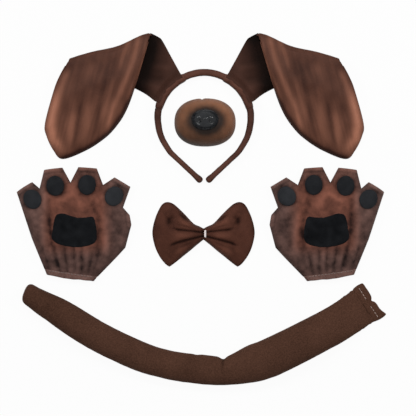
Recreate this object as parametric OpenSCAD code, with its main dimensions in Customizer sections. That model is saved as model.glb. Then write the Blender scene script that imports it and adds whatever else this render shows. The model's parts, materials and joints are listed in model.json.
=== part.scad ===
/* [Headband] */
// Radius of the loop at the middle of the band
band_r = 61; // [57:1:66]
// Thickness of the padded band over the crown
band_t = 9; // [7.5:0.5:11]
// Width of the band, front to back, over the crown
band_w = 12; // [10:0.5:15]
// Thickness of the band at its two ends
band_end_t = 6; // [5:0.5:7.5]
// Width of the band at its two ends
band_end_w = 9; // [8:0.5:10]
// Thickness of the plastic spring inside the band
core_t = 2; // [1:0.25:2.5]
// Width of the plastic spring inside the band
core_w = 6; // [4:0.5:6.5]
// Radius of the rounded tip on each end
tip_r = 4.5; // [4:0.25:6]
// Clear space between the two tips
tip_gap = 4; // [2:0.5:12]

/* [Ears] */
// Where the middle of an ear sits on the band, as an angle from the side
ear_at = 137; // [132:1:142]
// Width of an ear's base along the band, as an angle
ear_base = 45; // [36:1:48]
// Thickness of the ear fabric wrapped round the band
wrap_t = 1.2; // [0.8:0.1:2]
// Length of the root from the band to the middle of the fold
root_len = 84; // [72:1:96]
// Direction in which the root leaves the band
root_dir = 147; // [142:1:152]
// Height of the crown on the root's upper side
root_crown = 3; // [1:0.5:4]
// Length of the fold
fold_len = 112; // [100:1:124]
// Direction of the fold, from its inner to its outer end
fold_dir = 197.5; // [192:0.5:203]
// Radius of the roll that the ear bends around
fold_r = 5; // [4.5:0.5:8]
// Reach of the flap below the fold
flap_drop = 116; // [100:1:124]
// Sideways reach of the flap's tip past the fold's outer end
flap_lean = 48; // [36:1:58]
// Height of the crown on the flap's upper side
flap_crown = 7; // [4:0.5:10]
// Height of the crown on the flap's under side
flap_belly = 1.5; // [0.5:0.25:2]
// Thickness of the satin at the ears' seams
satin_t = 1.8; // [1.2:0.2:2.6]
// Thickness of the lining at the ears' seams
lining_t = 1.2; // [0.8:0.2:2]
// Thickness of the foam sheet inside the ears
foam_t = 2.5; // [1.5:0.25:3]

/* [Nose] */
// Width of the muzzle
muzzle_w = 80; // [70:1:90]
// Height of the muzzle from brow to chin
muzzle_h = 63; // [55:1:72]
// Depth of the muzzle
muzzle_d = 34; // [26:1:42]
// Wall of the muzzle
muzzle_wall = 2; // [1.5:0.25:3]
// Width of the black nose tip
nose_w = 35; // [28:1:42]
// Height of the black nose tip
nose_h = 29; // [24:1:34]
// Depth of the black nose tip
nose_d = 10; // [7:0.5:14]
// Depth of the nostrils
nostril_d = 3.5; // [2:0.5:5]

/* [Paw gloves] */
// Reach of the finger ends from the middle of the palm
finger_reach = 84; // [78:1:92]
// Width of each finger end
finger_w = 24; // [21:0.5:26]
// Reach of the webs between the fingers from the middle of the palm
web_reach = 66; // [60:1:70]
// Reach of the thumb hole from the middle of the palm
thumb_reach = 75; // [70:1:80]
// Width of the thumb hole
thumb_w = 13; // [10:0.5:16]
// Width of the wrist above its hem
wrist_w = 70; // [62:1:76]
// Reach of the wrist edge from the middle of the palm
wrist_reach = 63; // [58:1:70]
// Height of the wrist hem
hem_h = 7; // [5:0.5:12]
// Thickness of the glove at the wrist, back to palm
wrist_d = 12; // [11:0.5:14]
// Thickness of the glove over the palm
palm_d = 17; // [15:0.5:22]
// Thickness of the plush
plush_t = 1.8; // [1.4:0.1:2.2]
// Thickness of the flat elastic in the hem
elastic_t = 0.8; // [0.5:0.1:1]
// Width of the toe pads
toe_pad_w = 23; // [16:0.5:24]
// Length of the toe pads
toe_pad_l = 26; // [18:0.5:28]
// Width of the palm pad
palm_pad_w = 57; // [44:1:64]
// Height of the palm pad
palm_pad_h = 42; // [32:1:48]
// Thickness of the felt pads
pad_t = 2.2; // [1:0.2:3]

/* [Bow tie] */
// Width of the bow
bow_w = 134; // [115:1:150]
// Height of the bow at its wings
bow_h = 83; // [70:1:95]
// Height of the bow at its waist
bow_waist = 15; // [12:0.5:20]
// Height to which the wings puff up
bow_puff = 17; // [10:0.5:22]
// Thickness of the bow's cloth
cloth_t = 1.4; // [1:0.1:2]
// Width of the elastic loop round the waist
binding_w = 3; // [2:0.5:6]
// Thickness of the elastic loop round the waist
binding_t = 1; // [0.6:0.1:1.5]

/* [Tail] */
// Distance between the two ends of the tail
tail_span = 445; // [420:1:470]
// Depth of the tail's curve
tail_sag = 98; // [75:1:110]
// Width of the tail near its tip
tail_tip_w = 28; // [24:0.5:32]
// Width of the tail along its middle
tail_mid_w = 38; // [32:0.5:42]
// Width of the tail towards its hem
tail_end_w = 51; // [44:0.5:54]
// Thickness of the stuffed tail as a share of its width
tail_round = 0.72; // [0.6:0.01:0.9]
// Thickness of the tail's cover
velour_t = 1.5; // [1:0.1:2]
// Length of the flat hem
tail_hem_l = 12; // [8:0.5:18]
// Thickness of the flat hem
tail_hem_t = 6; // [5:0.5:8]

/* [Layout on the table] */
// Gap between the tips of the ears and the fingers
ear_paw_gap = 12; // [6:1:40]
// Gap between the headband's tips and the bow tie
band_bow_gap = 26; // [10:1:60]
// Gap between the bow tie and each paw
bow_paw_gap = 23; // [10:1:60]
// Gap in height between the wrists and the ends of the tail
paw_tail_gap = 4; // [0:1:40]
// Sideways place of the headband and the nose
head_x = 5; // [-10:1:10]
// Sideways place of the tail's middle
tail_x = -7; // [-20:1:20]
// Sideways place of the bow tie
bow_x = 3; // [-10:1:10]
// Sideways place of the middle between the paws
paws_x = 0; // [-10:1:10]
// Height of the paws' middle on the sheet
paws_y = -28; // [-60:1:20]

/* [Hidden] */
$fn = 48;

// Clearance between pieces that lie against each other
fit = 0.3;
// Colours of the cloths and mouldings
satin = "#5e4137";
satin_dark = "#4a322b";
plush = "#4d3a34";
felt = "#17181b";
velour = "#4e362c";
foam = "#d8d2c4";
pale = "#d9c9c2";
spring = "#2b2b2d";
latex = "#6d5344";
nose_black = "#101114";

// Plain maths
function mix(a, b, t) = a + (b - a) * t;
function smooth(x) = let(t = max(0, min(1, x))) t * t * (3 - 2 * t);
function polar(r, a) = [r * cos(a), r * sin(a)];
function at_height(p, z) = [p.x, p.y, z];
function knot(p, i, t) =
    let(a = p[max(i - 1, 0)], b = p[i], c = p[i + 1], d = p[min(i + 2, len(p) - 1)])
    b + (c - a) * t / 2
    + (a - 2.5 * b + 2 * c - d / 2) * t * t
    + (1.5 * b - a / 2 - 1.5 * c + d / 2) * t * t * t;
function curve(p, n) = [for (i = [0 : len(p) - 2], k = [0 : n - 1]) knot(p, i, k / n)];
function grow(p, c, f) = [c.x + f * (p.x - c.x), c.y + f * (p.y - c.y)];
function ring(outline, c, f, z) = [for (p = outline) at_height(grow(p, c, f), z)];
function edge_distance(p, a, b) =
    let(t = max(0, min(1, (p - a) * (b - a) / ((b - a) * (b - a))))) norm(p - mix(a, b, t));

// Band: a loop that closes in below its sides, then runs straight to each tip
loop_close = 47;
loop_angle = 180 + 2 * loop_close;
taper_from = 80;
taper_at_loop = 0.6;
loop_steps = 30;
end_steps = 2;
tip_neck = tip_r / 2;
end_l = (band_r * cos(loop_close) - tip_gap / 2 - tip_r) / sin(loop_close) - tip_neck;
wrap_out_w = band_w / 2 + fit + wrap_t;
wrap_out_t = band_t / 2 + fit + wrap_t;
band_z = wrap_out_w;
wrap_spare = 3;

// Ear: the fold is the local X axis, and the flap lies on the local +Y side of it
ear_base_r = band_r + wrap_out_t + fit;
fold_u = polar(1, fold_dir);
fold_v = [-fold_u.y, fold_u.x];
fold_a = polar(ear_base_r, ear_at) + polar(root_len, root_dir) - fold_len / 2 * fold_u;
fold_z = lining_t + satin_t + fit + fold_r;
flap_tip = [fold_len + flap_lean, flap_drop];
tip_rest = 0.8;
flap_slope = asin((fold_z + fold_r + fit - tip_rest) / flap_drop);
ear_cheek = 6;
ear_waist = 3.5;
pocket_at = 0.84;
pocket_d = foam_t + fit;
crown_rings = [0.4, 0.7, 0.9, 1];
crown_power = 2.5;

function to_ear(p) = [(p - fold_a) * fold_u, (p - fold_a) * fold_v];
function from_ear(p) = fold_a + p.x * fold_u + p.y * fold_v;
root_outer = to_ear(polar(ear_base_r, ear_at + ear_base / 2));
root_inner = to_ear(polar(ear_base_r, ear_at - ear_base / 2));
flap_in = 0.04 * fold_len;
flap_out = fold_len + 0.12 * flap_lean;
flap_edge = [
    [flap_out, 0],
    [fold_len + 0.4 * flap_lean, 0.11 * flap_drop],
    [fold_len + 0.66 * flap_lean, 0.24 * flap_drop],
    [fold_len + 1.16 * flap_lean, 0.56 * flap_drop],
    [fold_len + 1.23 * flap_lean, 0.7 * flap_drop],
    [fold_len + 1.17 * flap_lean, 0.88 * flap_drop],
    flap_tip,
    [0.8 * flap_tip.x, 0.985 * flap_drop],
    [0.64 * flap_tip.x, 0.925 * flap_drop],
    [0.53 * flap_tip.x, 0.85 * flap_drop],
    [0.41 * flap_tip.x, 0.72 * flap_drop],
    [0.28 * flap_tip.x, 0.5 * flap_drop],
    [flap_in, 0]
];
fold_edge = [for (k = [0 : 3]) [fold_len * k / 4, 0]];
flap_fold = [for (k = [0 : 3]) [mix(flap_in, flap_out, k / 4), 0]];
flap_outline = concat(flap_fold, curve(flap_edge, 2));
flap_mid = [0.55 * flap_tip.x, 0.52 * flap_drop];
root_outline = concat(
    fold_edge,
    curve([[fold_len, 0], mix(root_outer, [fold_len, 0], 0.25) - [ear_waist, ear_waist], root_outer], 3),
    [for (k = [0 : 5]) to_ear(polar(ear_base_r, ear_at + ear_base * (0.5 - k / 5)))],
    [mix(root_inner, [0, 0], 0.45) - [ear_cheek / 3, 0], mix(root_inner, [0, 0], 0.82) - [ear_cheek, 0]]
);
root_mid = mix(mix(root_inner, root_outer, 0.5), [fold_len / 2, 0], 0.48);
ear_low = min([for (p = flap_outline) from_ear(p).y]);

// Nose: an oval cup whose height falls from the middle to the rim
muzzle_steps = 36;
muzzle_square = 2.3;
muzzle_flat = 2.2;
muzzle_shape = 0.62;
muzzle_nick = 2.5;
muzzle_nick_at = 100;
muzzle_nick_half = 12;
muzzle_nick_power = 12;
muzzle_rings = [0.25, 0.48, 0.68, 0.84, 0.95, 1];
muzzle_at = [1, -3];
nose_up = 2;
nose_square = 2.4;
nose_taper = 0.1;
nose_bulge = 0.97;
nose_steps = 24;
nose_rings = [0.35, 0.65, 0.88, 1];
nostril_x = 0.42;
nostril_r = 5.5;
nostril_low = 0.08;

function oval(a, n) = pow(pow(abs(cos(a)), n) + pow(abs(sin(a)), n), -1 / n);
function muzzle_edge(a) = let(o = oval(a, muzzle_square) / 2)
    [muzzle_w * o * cos(a), muzzle_h * o * sin(a)];
function muzzle_cut(a, f) = let(near = max(0, 1 - abs(a - muzzle_nick_at) / muzzle_nick_half))
    muzzle_nick * near * pow(f, muzzle_nick_power);
function muzzle_ring(f, z, wall) = [for (k = [0 : muzzle_steps - 1])
    let(a = 360 * k / muzzle_steps, p = muzzle_edge(a))
    at_height(p * f * (1 - (wall + muzzle_cut(a, f)) / norm(p)), z)];
function muzzle_z(f, d) = d * pow(max(0, 1 - pow(f, muzzle_flat)), muzzle_shape);
function muzzle_over(p) = let(o = [p.x / (muzzle_w / 2), p.y / (muzzle_h / 2)], n = muzzle_square)
    muzzle_z(pow(pow(abs(o.x), n) + pow(abs(o.y), n), 1 / n), muzzle_d);
function nose_edge(a) = let(o = oval(a, nose_square), y = o * sin(a))
    [nose_w / 2 * o * cos(a) * (1 - nose_taper * (1 - y)), nose_h / 2 * y + nose_up];
nose_outline = [for (k = [0 : nose_steps - 1]) nose_edge(360 * k / nose_steps)];
function nose_rise(f) = nose_d * sqrt(1 - nose_bulge * f * f);
function nostril(p) =
    let(r = norm([abs(p.x) - nostril_x * nose_w / 2, p.y - nose_up + nostril_low * nose_h]) / nostril_r)
    nostril_d * (1 - smooth(r));

// Paw: left glove with its thumb on +X, palm up, about the middle of the palm
finger_turn = [123, 97, 86, 59];
finger_at = [139, 108.5, 77.5, 44.5];
web_at = [129.5, 94, 57];
web_more = [4, -4, 4];
end_more = [1, 0, -1, 5];
thumb_at = 10;
wrist_at = 266;
wrist_turn = 262;
hem_w = 0.94 * wrist_w;
crotch = polar(70.5, 24.5);
heel = [polar(66.5, 329), polar(71, 341)];
side_low = polar(55.5, 192);
paw_mid_z = 3;
paw_edge = 1.2;
paw_round = 20;
back_round = 8;
wrist_ease = 26;
seam_gap = 0.1;
pad_seat = 0.7;
pad_edge = 0.45;
pad_rings = [0.4, 0.75, 1];
hem_cloth = 1;
hem_wall = elastic_t + 2 * fit + 2 * hem_cloth;
toe_back = 21;
paw_rings = [0.3, 0.55, 0.78, 0.92, 1];

function finger_end(i) = polar(finger_reach + end_more[i], finger_at[i]);
function finger_corner(i, side) = finger_end(i) + polar(side * finger_w / 2, finger_turn[i] - 90);
function web(i) = polar(web_reach + web_more[i], web_at[i]);
function wrist_corner(side, up) =
    polar(wrist_reach, wrist_at) - polar(up, wrist_turn) + polar(side * wrist_w / 2, wrist_turn + 90);
function thumb_corner(side) = polar(thumb_reach, thumb_at) + polar(side * thumb_w / 2, thumb_at + 90);

// Each edge of the glove: first point, last point, number of steps, and whether it is sewn shut
paw_edges = [
    [wrist_corner(1, hem_h), heel[0], 3, true],
    [heel[0], heel[1], 1, true],
    [heel[1], thumb_corner(-1), 2, true],
    [thumb_corner(-1), thumb_corner(1), 2, false],
    [thumb_corner(1), crotch, 1, true],
    [crotch, finger_corner(3, 1), 2, true],
    [finger_corner(3, 1), finger_corner(3, -1), 3, false],
    [finger_corner(3, -1), web(2), 2, true],
    [web(2), finger_corner(2, 1), 2, true],
    [finger_corner(2, 1), finger_corner(2, -1), 3, false],
    [finger_corner(2, -1), web(1), 2, true],
    [web(1), finger_corner(1, 1), 2, true],
    [finger_corner(1, 1), finger_corner(1, -1), 3, false],
    [finger_corner(1, -1), web(0), 2, true],
    [web(0), finger_corner(0, 1), 1, true],
    [finger_corner(0, 1), finger_corner(0, -1), 3, false],
    [finger_corner(0, -1), side_low, 3, true],
    [side_low, wrist_corner(-1, hem_h), 2, true],
    [wrist_corner(-1, hem_h), wrist_corner(1, hem_h), 5, false]
];
paw_outline = [for (e = paw_edges, k = [0 : e[2] - 1]) mix(e[0], e[1], k / e[2])];
paw_seams = [for (e = paw_edges) if (e[3]) [e[0], e[1]]];
function seam_distance(p) = min([for (s = paw_seams) edge_distance(p, s[0], s[1])]);
function puff(d, r) = let(t = 1 - min(d / r, 1)) sqrt(max(0, 1 - t * t));
function from_hem(p) = (wrist_corner(0, hem_h) - p) * polar(1, wrist_turn);
function palm_top(p) = mix(wrist_d, palm_d, smooth(from_hem(p) / wrist_ease)) - paw_mid_z;
function palm_rise(p) = mix(paw_edge, palm_top(p), puff(seam_distance(p), paw_round));
function back_fall(p) = mix(paw_edge, paw_mid_z, puff(seam_distance(p), back_round));

function toe(i) = finger_end(i) - polar(toe_back, finger_turn[i]);
function toe_outline(i) = [for (a = [0 : 24 : 359])
    toe(i)
    + polar(toe_pad_l / 2 * cos(a), finger_turn[i])
    + polar(toe_pad_w / 2 * sin(a), finger_turn[i] + 90)];
palm_pad_shape = [
    [0.1, 0.38], [-0.05, 0.44], [-0.22, 0.51], [-0.36, 0.48], [-0.42, 0.33], [-0.46, 0.03], [-0.48, -0.25],
    [-0.32, -0.43], [0, -0.52], [0.27, -0.5], [0.51, -0.36], [0.54, -0.03], [0.5, 0.27], [0.44, 0.41],
    [0.28, 0.39], [0.1, 0.38]
];
palm_pad_outline = curve([for (p = palm_pad_shape) [p.x * palm_pad_w, p.y * palm_pad_h]], 2);

// Bow: s runs across from wing to wing, t runs from the lower to the upper edge
bow_cols = 20;
bow_rows = 12;
bow_corner = 0.28;
wing_full = 0.85;
bow_ridges = 1.5;
bow_groove = 0.45;
floor_to = 0.2;
waist_lift = binding_t + fit;
waist_rise = 5;
function wing_half(s) = mix(bow_waist / 2, bow_h / 2, smooth(abs(s) / wing_full));
function bow_point(s, t) =
    [s * bow_w / 2 * (1 - bow_corner * pow(abs(t), 3) * abs(s)), t * wing_half(s)];
function bow_floor(s) = waist_lift * (1 - smooth(abs(s) / floor_to));
function bow_ridge(t) = 0.5 + 0.5 * cos(360 * bow_ridges * t);
function bow_arch(s, t) =
    waist_rise * bow_ridge(t) * pow(1 - abs(s), 2)
    + (bow_puff - waist_rise) * sin(180 * pow(abs(s), 0.75)) * (1 - pow(abs(t), 3))
    * mix(1 - bow_groove * (1 - bow_ridge(t)), 1, pow(abs(s), 1.5));
binding_in = 2 * wing_half(binding_w / bow_w) + 4 * fit;
binding_h = waist_lift + 2 * cloth_t + 2 * fit + bow_arch(binding_w / bow_w, 0) + binding_t;
function bow_sheet(lift) = [for (i = [0 : bow_cols]) [for (j = [0 : bow_rows])
    let(s = 2 * i / bow_cols - 1, t = 2 * j / bow_rows - 1)
    at_height(bow_point(s, t), bow_floor(s) + lift + (lift < cloth_t + fit ? 0 : bow_arch(s, t)))]];

// Tail: stations along a curve, each with its own width and thickness
tail_sides = 14;
tail_route = [
    [-0.5, 1.04], [-0.46, 0.93], [-0.39, 0.75], [-0.3, 0.49], [-0.21, 0.28], [-0.12, 0.12], [-0.01, 0.02],
    [0.1, 0], [0.18, 0.1], [0.25, 0.23], [0.41, 0.6], [0.5, 0.86]
];
tail_stations = [
    0, 0.004, 0.012, 0.03, 0.06, 0.1, 0.16, 0.22, 0.29, 0.36, 0.43, 0.5, 0.56, 0.605, 0.635, 0.665, 0.7,
    0.75, 0.8, 0.86, 0.92, 0.96, 1
];
tip_round = 0.06;
crease_at = 0.635;
crease_long = 0.022;
crease_deep = 3.5;
flat_cut = 0.5;
hem_ease = 0.16;
tip_to = [0.03, 0.24];
end_to = [0.62, 0.74];
cap_low = 0.25;
hem_notch = 3;
stuffing_to = 0.985;
stuffing_slack = 1.5;
function tail_point(f) =
    let(n = len(tail_route) - 1, i = min(floor(f * n), n - 1), p = knot(tail_route, i, f * n - i))
    [p.x * tail_span, p.y * tail_sag];
function tail_dir(f) = let(d = tail_point(min(f + 0.01, 1)) - tail_point(max(f - 0.01, 0))) d / norm(d);
function tail_w(f) = f < 0.5
    ? mix(tail_tip_w, tail_mid_w, smooth((f - tip_to[0]) / (tip_to[1] - tip_to[0])))
    : mix(tail_mid_w, tail_end_w, smooth((f - end_to[0]) / (end_to[1] - end_to[0])));
function tail_cap(f) = sqrt(max(0.04, 1 - pow(1 - min(f / tip_round, 1), 2)));
function tail_thick(f, w) = mix(w * tail_round, tail_hem_t, smooth((f - 1 + hem_ease) / hem_ease));
function tail_crease(f) = crease_deep * exp(-pow((f - crease_at) / crease_long, 2));
function tail_ring(f, inset) =
    let(
        c = tail_point(f), d = tail_dir(f), up = [-d.y, d.x], w = tail_w(f) * tail_cap(f),
        h = tail_thick(f, tail_w(f)) * mix(tail_cap(f), 1, cap_low)
    )
    [for (k = [0 : tail_sides - 1])
        let(
            a = -360 * k / tail_sides,
            side = (w / 2 - inset) * cos(a),
            z = (h / 2 - inset) * sin(a),
            pinch = tail_crease(f) * max(0, cos(a))
        )
        at_height(c + up * (side - pinch), max(h / 2 + z, flat_cut + inset) - flat_cut)];
function tail_core(f) = let(h = tail_thick(f, tail_w(f)) * mix(tail_cap(f), 1, cap_low))
    at_height(tail_point(f), h / 2 - flat_cut / 2);

// Places on the table
finger_dip = 3;
wrist_dip = 2;
paw_up = finger_reach - finger_dip;
paw_low = wrist_reach + wrist_dip;
loop_y = paws_y + paw_up + ear_paw_gap - ear_low;
band_low = loop_y - band_r * sin(loop_close) - (end_l + tip_neck) * cos(loop_close) - tip_r;
bow_y = band_low - band_bow_gap - bow_h / 2;
paw_cx = bow_w / 2 + bow_paw_gap + thumb_reach;
tail_y = paws_y - paw_low - paw_tail_gap - tail_sag - tail_tip_w / 2;

// Closed skin over rings of points that run from a start point to an end point
module skin(start, rings, end) {
    n = len(rings[0]);
    m = len(rings);
    last = n * m + 1;
    function at(i, j) = 1 + i * n + j % n;
    polyhedron(
        points = concat([start], [for (r = rings) each r], [end]),
        faces = concat(
            [for (j = [0 : n - 1]) [0, at(0, j + 1), at(0, j)]],
            [for (i = [0 : m - 2], j = [0 : n - 1]) each [
                [at(i, j), at(i, j + 1), at(i + 1, j + 1)],
                [at(i, j), at(i + 1, j + 1), at(i + 1, j)]
            ]],
            [for (j = [0 : n - 1]) [last, at(m - 1, j), at(m - 1, j + 1)]]
        )
    );
}

// Closed skin over rings of points whose last ring joins the first again
module hoop(rings) {
    n = len(rings[0]);
    m = len(rings);
    function at(i, j) = (i % m) * n + j % n;
    polyhedron(
        points = [for (r = rings) each r],
        faces = [for (i = [0 : m - 1], j = [0 : n - 1]) each [
            [at(i, j), at(i + 1, j + 1), at(i, j + 1)],
            [at(i, j), at(i + 1, j), at(i + 1, j + 1)]
        ]]
    );
}

// Sheet between an upper and a lower grid of points
module sheet(upper, lower) {
    cols = len(upper);
    rows = len(upper[0]);
    rim = concat(
        [for (i = [0 : cols - 1]) [i, 0]],
        [for (j = [1 : rows - 1]) [cols - 1, j]],
        [for (i = [cols - 2 : -1 : 0]) [i, rows - 1]],
        [for (j = [rows - 2 : -1 : 1]) [0, j]]
    );
    n = cols * rows;
    function up(i, j) = i * rows + j;
    function down(i, j) = n + up(i, j);
    polyhedron(
        points = concat([for (c = upper) each c], [for (c = lower) each c]),
        faces = concat(
            [for (i = [0 : cols - 2], j = [0 : rows - 2]) each [
                [up(i, j), up(i + 1, j + 1), up(i + 1, j)],
                [up(i, j), up(i, j + 1), up(i + 1, j + 1)],
                [down(i, j), down(i + 1, j), down(i + 1, j + 1)],
                [down(i, j), down(i + 1, j + 1), down(i, j + 1)]
            ]],
            [for (k = [0 : len(rim) - 1]) let(a = rim[k], b = rim[(k + 1) % len(rim)]) each [
                [up(a.x, a.y), up(b.x, b.y), down(b.x, b.y)],
                [up(a.x, a.y), down(b.x, b.y), down(a.x, a.y)]
            ]]
        )
    );
}

module stadium(w, h) {
    square([w - h, h], center = true);
    for (s = [-1, 1])
        translate([s * (w - h) / 2, 0])
            circle(d = h);
}

module rounded(w, h, r) {
    square([w, h - 2 * r], center = true);
    square([w - 2 * r, h], center = true);
    for (x = [-1, 1], y = [-1, 1])
        translate([x * (w / 2 - r), y * (h / 2 - r)])
            circle(r = r);
}

// Places: side is 1 for the left piece of a pair and -1 for the right one
module on_head(side) {
    translate([head_x, loop_y, 0])
        if (side > 0)
            children();
        else
            mirror([1, 0, 0])
                children();
}

module on_root()
    translate([fold_a.x, fold_a.y, lining_t])
        rotate([0, 0, fold_dir])
            children();

module on_flap()
    translate([fold_a.x, fold_a.y, fold_z])
        rotate([-flap_slope, 0, fold_dir])
            translate([0, 0, fold_r + fit + lining_t])
                children();

module on_nose()
    translate([head_x + muzzle_at.x, loop_y + muzzle_at.y, 0])
        children();

module on_paw(side) {
    translate([paws_x, paws_y, 0])
        if (side > 0)
            translate([-paw_cx, 0, 0])
                children();
        else
            mirror([1, 0, 0])
                translate([-paw_cx, 0, 0])
                    children();
}

module on_wrist()
    translate(at_height(wrist_corner(0, hem_h), wrist_d / 2))
        rotate([90, 0, wrist_turn + 90])
            children();

module on_bow()
    translate([bow_x, bow_y, 0])
        children();

module on_tail()
    translate([tail_x, tail_y, 0])
        children();

// Headband
function band_share(a) = max(0, (abs(a - 90) - taper_from) / (90 + loop_close - taper_from));
function band_station(c, n, share) =
    [c, n, mix(band_t, band_end_t, share), mix(band_w, band_end_w, share)];
function band_end_station(side, t) =
    let(a = side > 0 ? 180 + loop_close : -loop_close)
    band_station(polar(band_r, a) + polar(end_l * t, a + side * 90), polar(1, a), mix(taper_at_loop, 1, t));
band_stations = concat(
    [for (k = [0 : end_steps - 1]) band_end_station(1, 1 - k / end_steps)],
    [for (k = [0 : loop_steps]) let(a = mix(180 + loop_close, -loop_close, k / loop_steps))
        band_station(polar(band_r, a), polar(1, a), taper_at_loop * band_share(a))],
    [for (k = [1 : end_steps]) band_end_station(-1, k / end_steps)]
);
section_marks = concat(
    [for (k = [0 : 2]) [1, -1 + k * 2 / 3]], [for (k = [0 : 2]) [1 - k * 2 / 3, 1]],
    [for (k = [0 : 2]) [-1, 1 - k * 2 / 3]], [for (k = [0 : 2]) [-1 + k * 2 / 3, -1]]
);
function softened(q) = q / pow(pow(abs(q.x), 4) + pow(abs(q.y), 4), 1 / 4);
function band_ring(s, t, w, soft) = [for (q = section_marks)
    let(p = soft ? softened(q) : q) at_height(s[0] + s[1] * p.x * t / 2, band_z + p.y * w / 2)];

module headband_sleeve()
    color(satin)
        hoop(concat(
            [for (s = band_stations) band_ring(s, s[2], s[3], true)],
            [for (k = [len(band_stations) - 1 : -1 : 0])
                band_ring(band_stations[k], core_t + 2 * fit, core_w + 2 * fit, false)]
        ));

module headband_core()
    color(spring) {
        rotate([0, 0, -loop_close])
            translate([0, 0, band_z])
                rotate_extrude(angle = loop_angle)
                    translate([band_r, 0])
                        square([core_t, core_w], center = true);
        for (side = [-1, 1])
            mirror([side > 0 ? 1 : 0, 0, 0])
                rotate([0, 0, -loop_close])
                    translate([band_r - core_t / 2, -end_l + fit, band_z - core_w / 2])
                        cube([core_t, end_l, core_w]);
    }

module band_tip()
    color(satin_dark)
        mirror([1, 0, 0])
            rotate([0, 0, -loop_close])
                translate([band_r, -end_l, band_z])
                    rotate([90, 0, 0]) {
                        cylinder(r = tip_r, h = tip_neck);
                        translate([0, 0, tip_neck])
                            intersection() {
                                sphere(r = tip_r);
                                cylinder(r = 2 * tip_r, h = 2 * tip_r);
                            }
                    }

module ear_wrap()
    color(satin_dark)
        translate([0, 0, band_z])
            rotate([0, 0, ear_at - ear_base / 2 - wrap_spare])
                rotate_extrude(angle = ear_base + 2 * wrap_spare)
                    translate([band_r, 0])
                        difference() {
                            rounded(2 * wrap_out_t, 2 * wrap_out_w, 2 * wrap_t);
                            square([band_t + 2 * fit, band_w + 2 * fit], center = true);
                        }

// Ears: satin on the upper side with a pocket for the foam, lining on the under side
module ear_satin(outline, mid, crown)
    color(satin)
        skin(
            at_height(mid, satin_t + crown),
            concat(
                [for (f = crown_rings) ring(outline, mid, f, satin_t + crown * (1 - pow(f, crown_power)))],
                [
                    ring(outline, mid, 1, 0),
                    ring(outline, mid, pocket_at, 0),
                    ring(outline, mid, pocket_at, pocket_d)
                ]
            ),
            at_height(mid, pocket_d)
        );

module ear_lining(outline, mid, belly)
    color(satin_dark)
        skin(
            at_height(mid, 0),
            concat(
                [ring(outline, mid, 1, 0)],
                [for (k = [len(crown_rings) - 1 : -1 : 0]) let(f = crown_rings[k])
                    ring(outline, mid, f, -lining_t - belly * (1 - pow(f, crown_power)))]
            ),
            at_height(mid, -lining_t - belly)
        );

module ear_foam(outline, mid)
    color(foam)
        translate([0, 0, fit / 2])
            linear_extrude(foam_t)
                polygon([for (p = outline) grow(p, mid, pocket_at - 2 * fit / norm(p - mid))]);

module root_front() on_root() ear_satin(root_outline, root_mid, root_crown);
module root_back() on_root() ear_lining(root_outline, root_mid, 0);
module root_foam() on_root() ear_foam(root_outline, root_mid);
module flap_front() on_flap() ear_satin(flap_outline, flap_mid, flap_crown);
module flap_back() on_flap() ear_lining(flap_outline, flap_mid, flap_belly);
module flap_foam() on_flap() ear_foam(flap_outline, flap_mid);

module ear_fold()
    color(satin)
        translate([fold_a.x, fold_a.y, fold_z])
            rotate([0, 90, fold_dir])
                cylinder(r = fold_r, h = fold_len);

// Nose
module muzzle()
    color(latex)
        on_nose()
            skin(
                [0, 0, muzzle_d],
                concat(
                    [for (f = muzzle_rings) muzzle_ring(f, muzzle_z(f, muzzle_d), 0)],
                    [for (k = [len(muzzle_rings) - 1 : -1 : 0]) let(f = muzzle_rings[k])
                        muzzle_ring(f, muzzle_z(f, muzzle_d - muzzle_wall), muzzle_wall)]
                ),
                [0, 0, muzzle_d - muzzle_wall]
            );

module nose_tip()
    color(nose_black)
        on_nose()
            skin(
                at_height([0, nose_up], muzzle_over([0, nose_up]) + fit + nose_d),
                concat(
                    [for (f = nose_rings) [for (p = nose_outline) let(q = grow(p, [0, nose_up], f))
                        at_height(q, muzzle_over(q) + 2 * fit + nose_rise(f) - nostril(q))]],
                    [for (k = [len(nose_rings) - 1 : -1 : 0]) [for (p = nose_outline)
                        let(q = grow(p, [0, nose_up], nose_rings[k])) at_height(q, muzzle_over(q) + fit)]]
                ),
                at_height([0, nose_up], muzzle_over([0, nose_up]) + fit)
            );

// Paw gloves
module palm_panel()
    color(plush)
        skin(
            [0, 0, paw_mid_z + palm_rise([0, 0])],
            concat(
                [for (f = paw_rings) [for (p = paw_outline)
                    at_height(f * p, paw_mid_z + palm_rise(f * p))]],
                [for (k = [len(paw_rings) - 1 : -1 : 0]) [for (p = paw_outline) let(q = paw_rings[k] * p)
                    at_height(q, paw_mid_z + max(palm_rise(q) - plush_t, seam_gap / 2))]]
            ),
            [0, 0, paw_mid_z + palm_rise([0, 0]) - plush_t]
        );

module back_panel()
    color(plush)
        skin(
            [0, 0, paw_mid_z - back_fall([0, 0]) + plush_t],
            concat(
                [for (f = paw_rings) [for (p = paw_outline)
                    at_height(f * p, paw_mid_z - max(back_fall(f * p) - plush_t, seam_gap / 2))]],
                [for (k = [len(paw_rings) - 1 : -1 : 0]) [for (p = paw_outline) let(q = paw_rings[k] * p)
                    at_height(q, paw_mid_z - back_fall(q))]]
            ),
            [0, 0, paw_mid_z - back_fall([0, 0])]
        );

// Flat ring of the wrist between two depths below its outside
module hem_band(from, to)
    difference() {
        stadium(hem_w - 2 * from, wrist_d - 2 * from);
        stadium(hem_w - 2 * to, wrist_d - 2 * to);
    }

module wrist_hem()
    color(plush)
        on_wrist()
            difference() {
                linear_extrude(hem_h)
                    hem_band(0, hem_wall);
                translate([0, 0, -hem_cloth])
                    linear_extrude(hem_h)
                        hem_band(hem_cloth, hem_wall - hem_cloth);
            }

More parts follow.
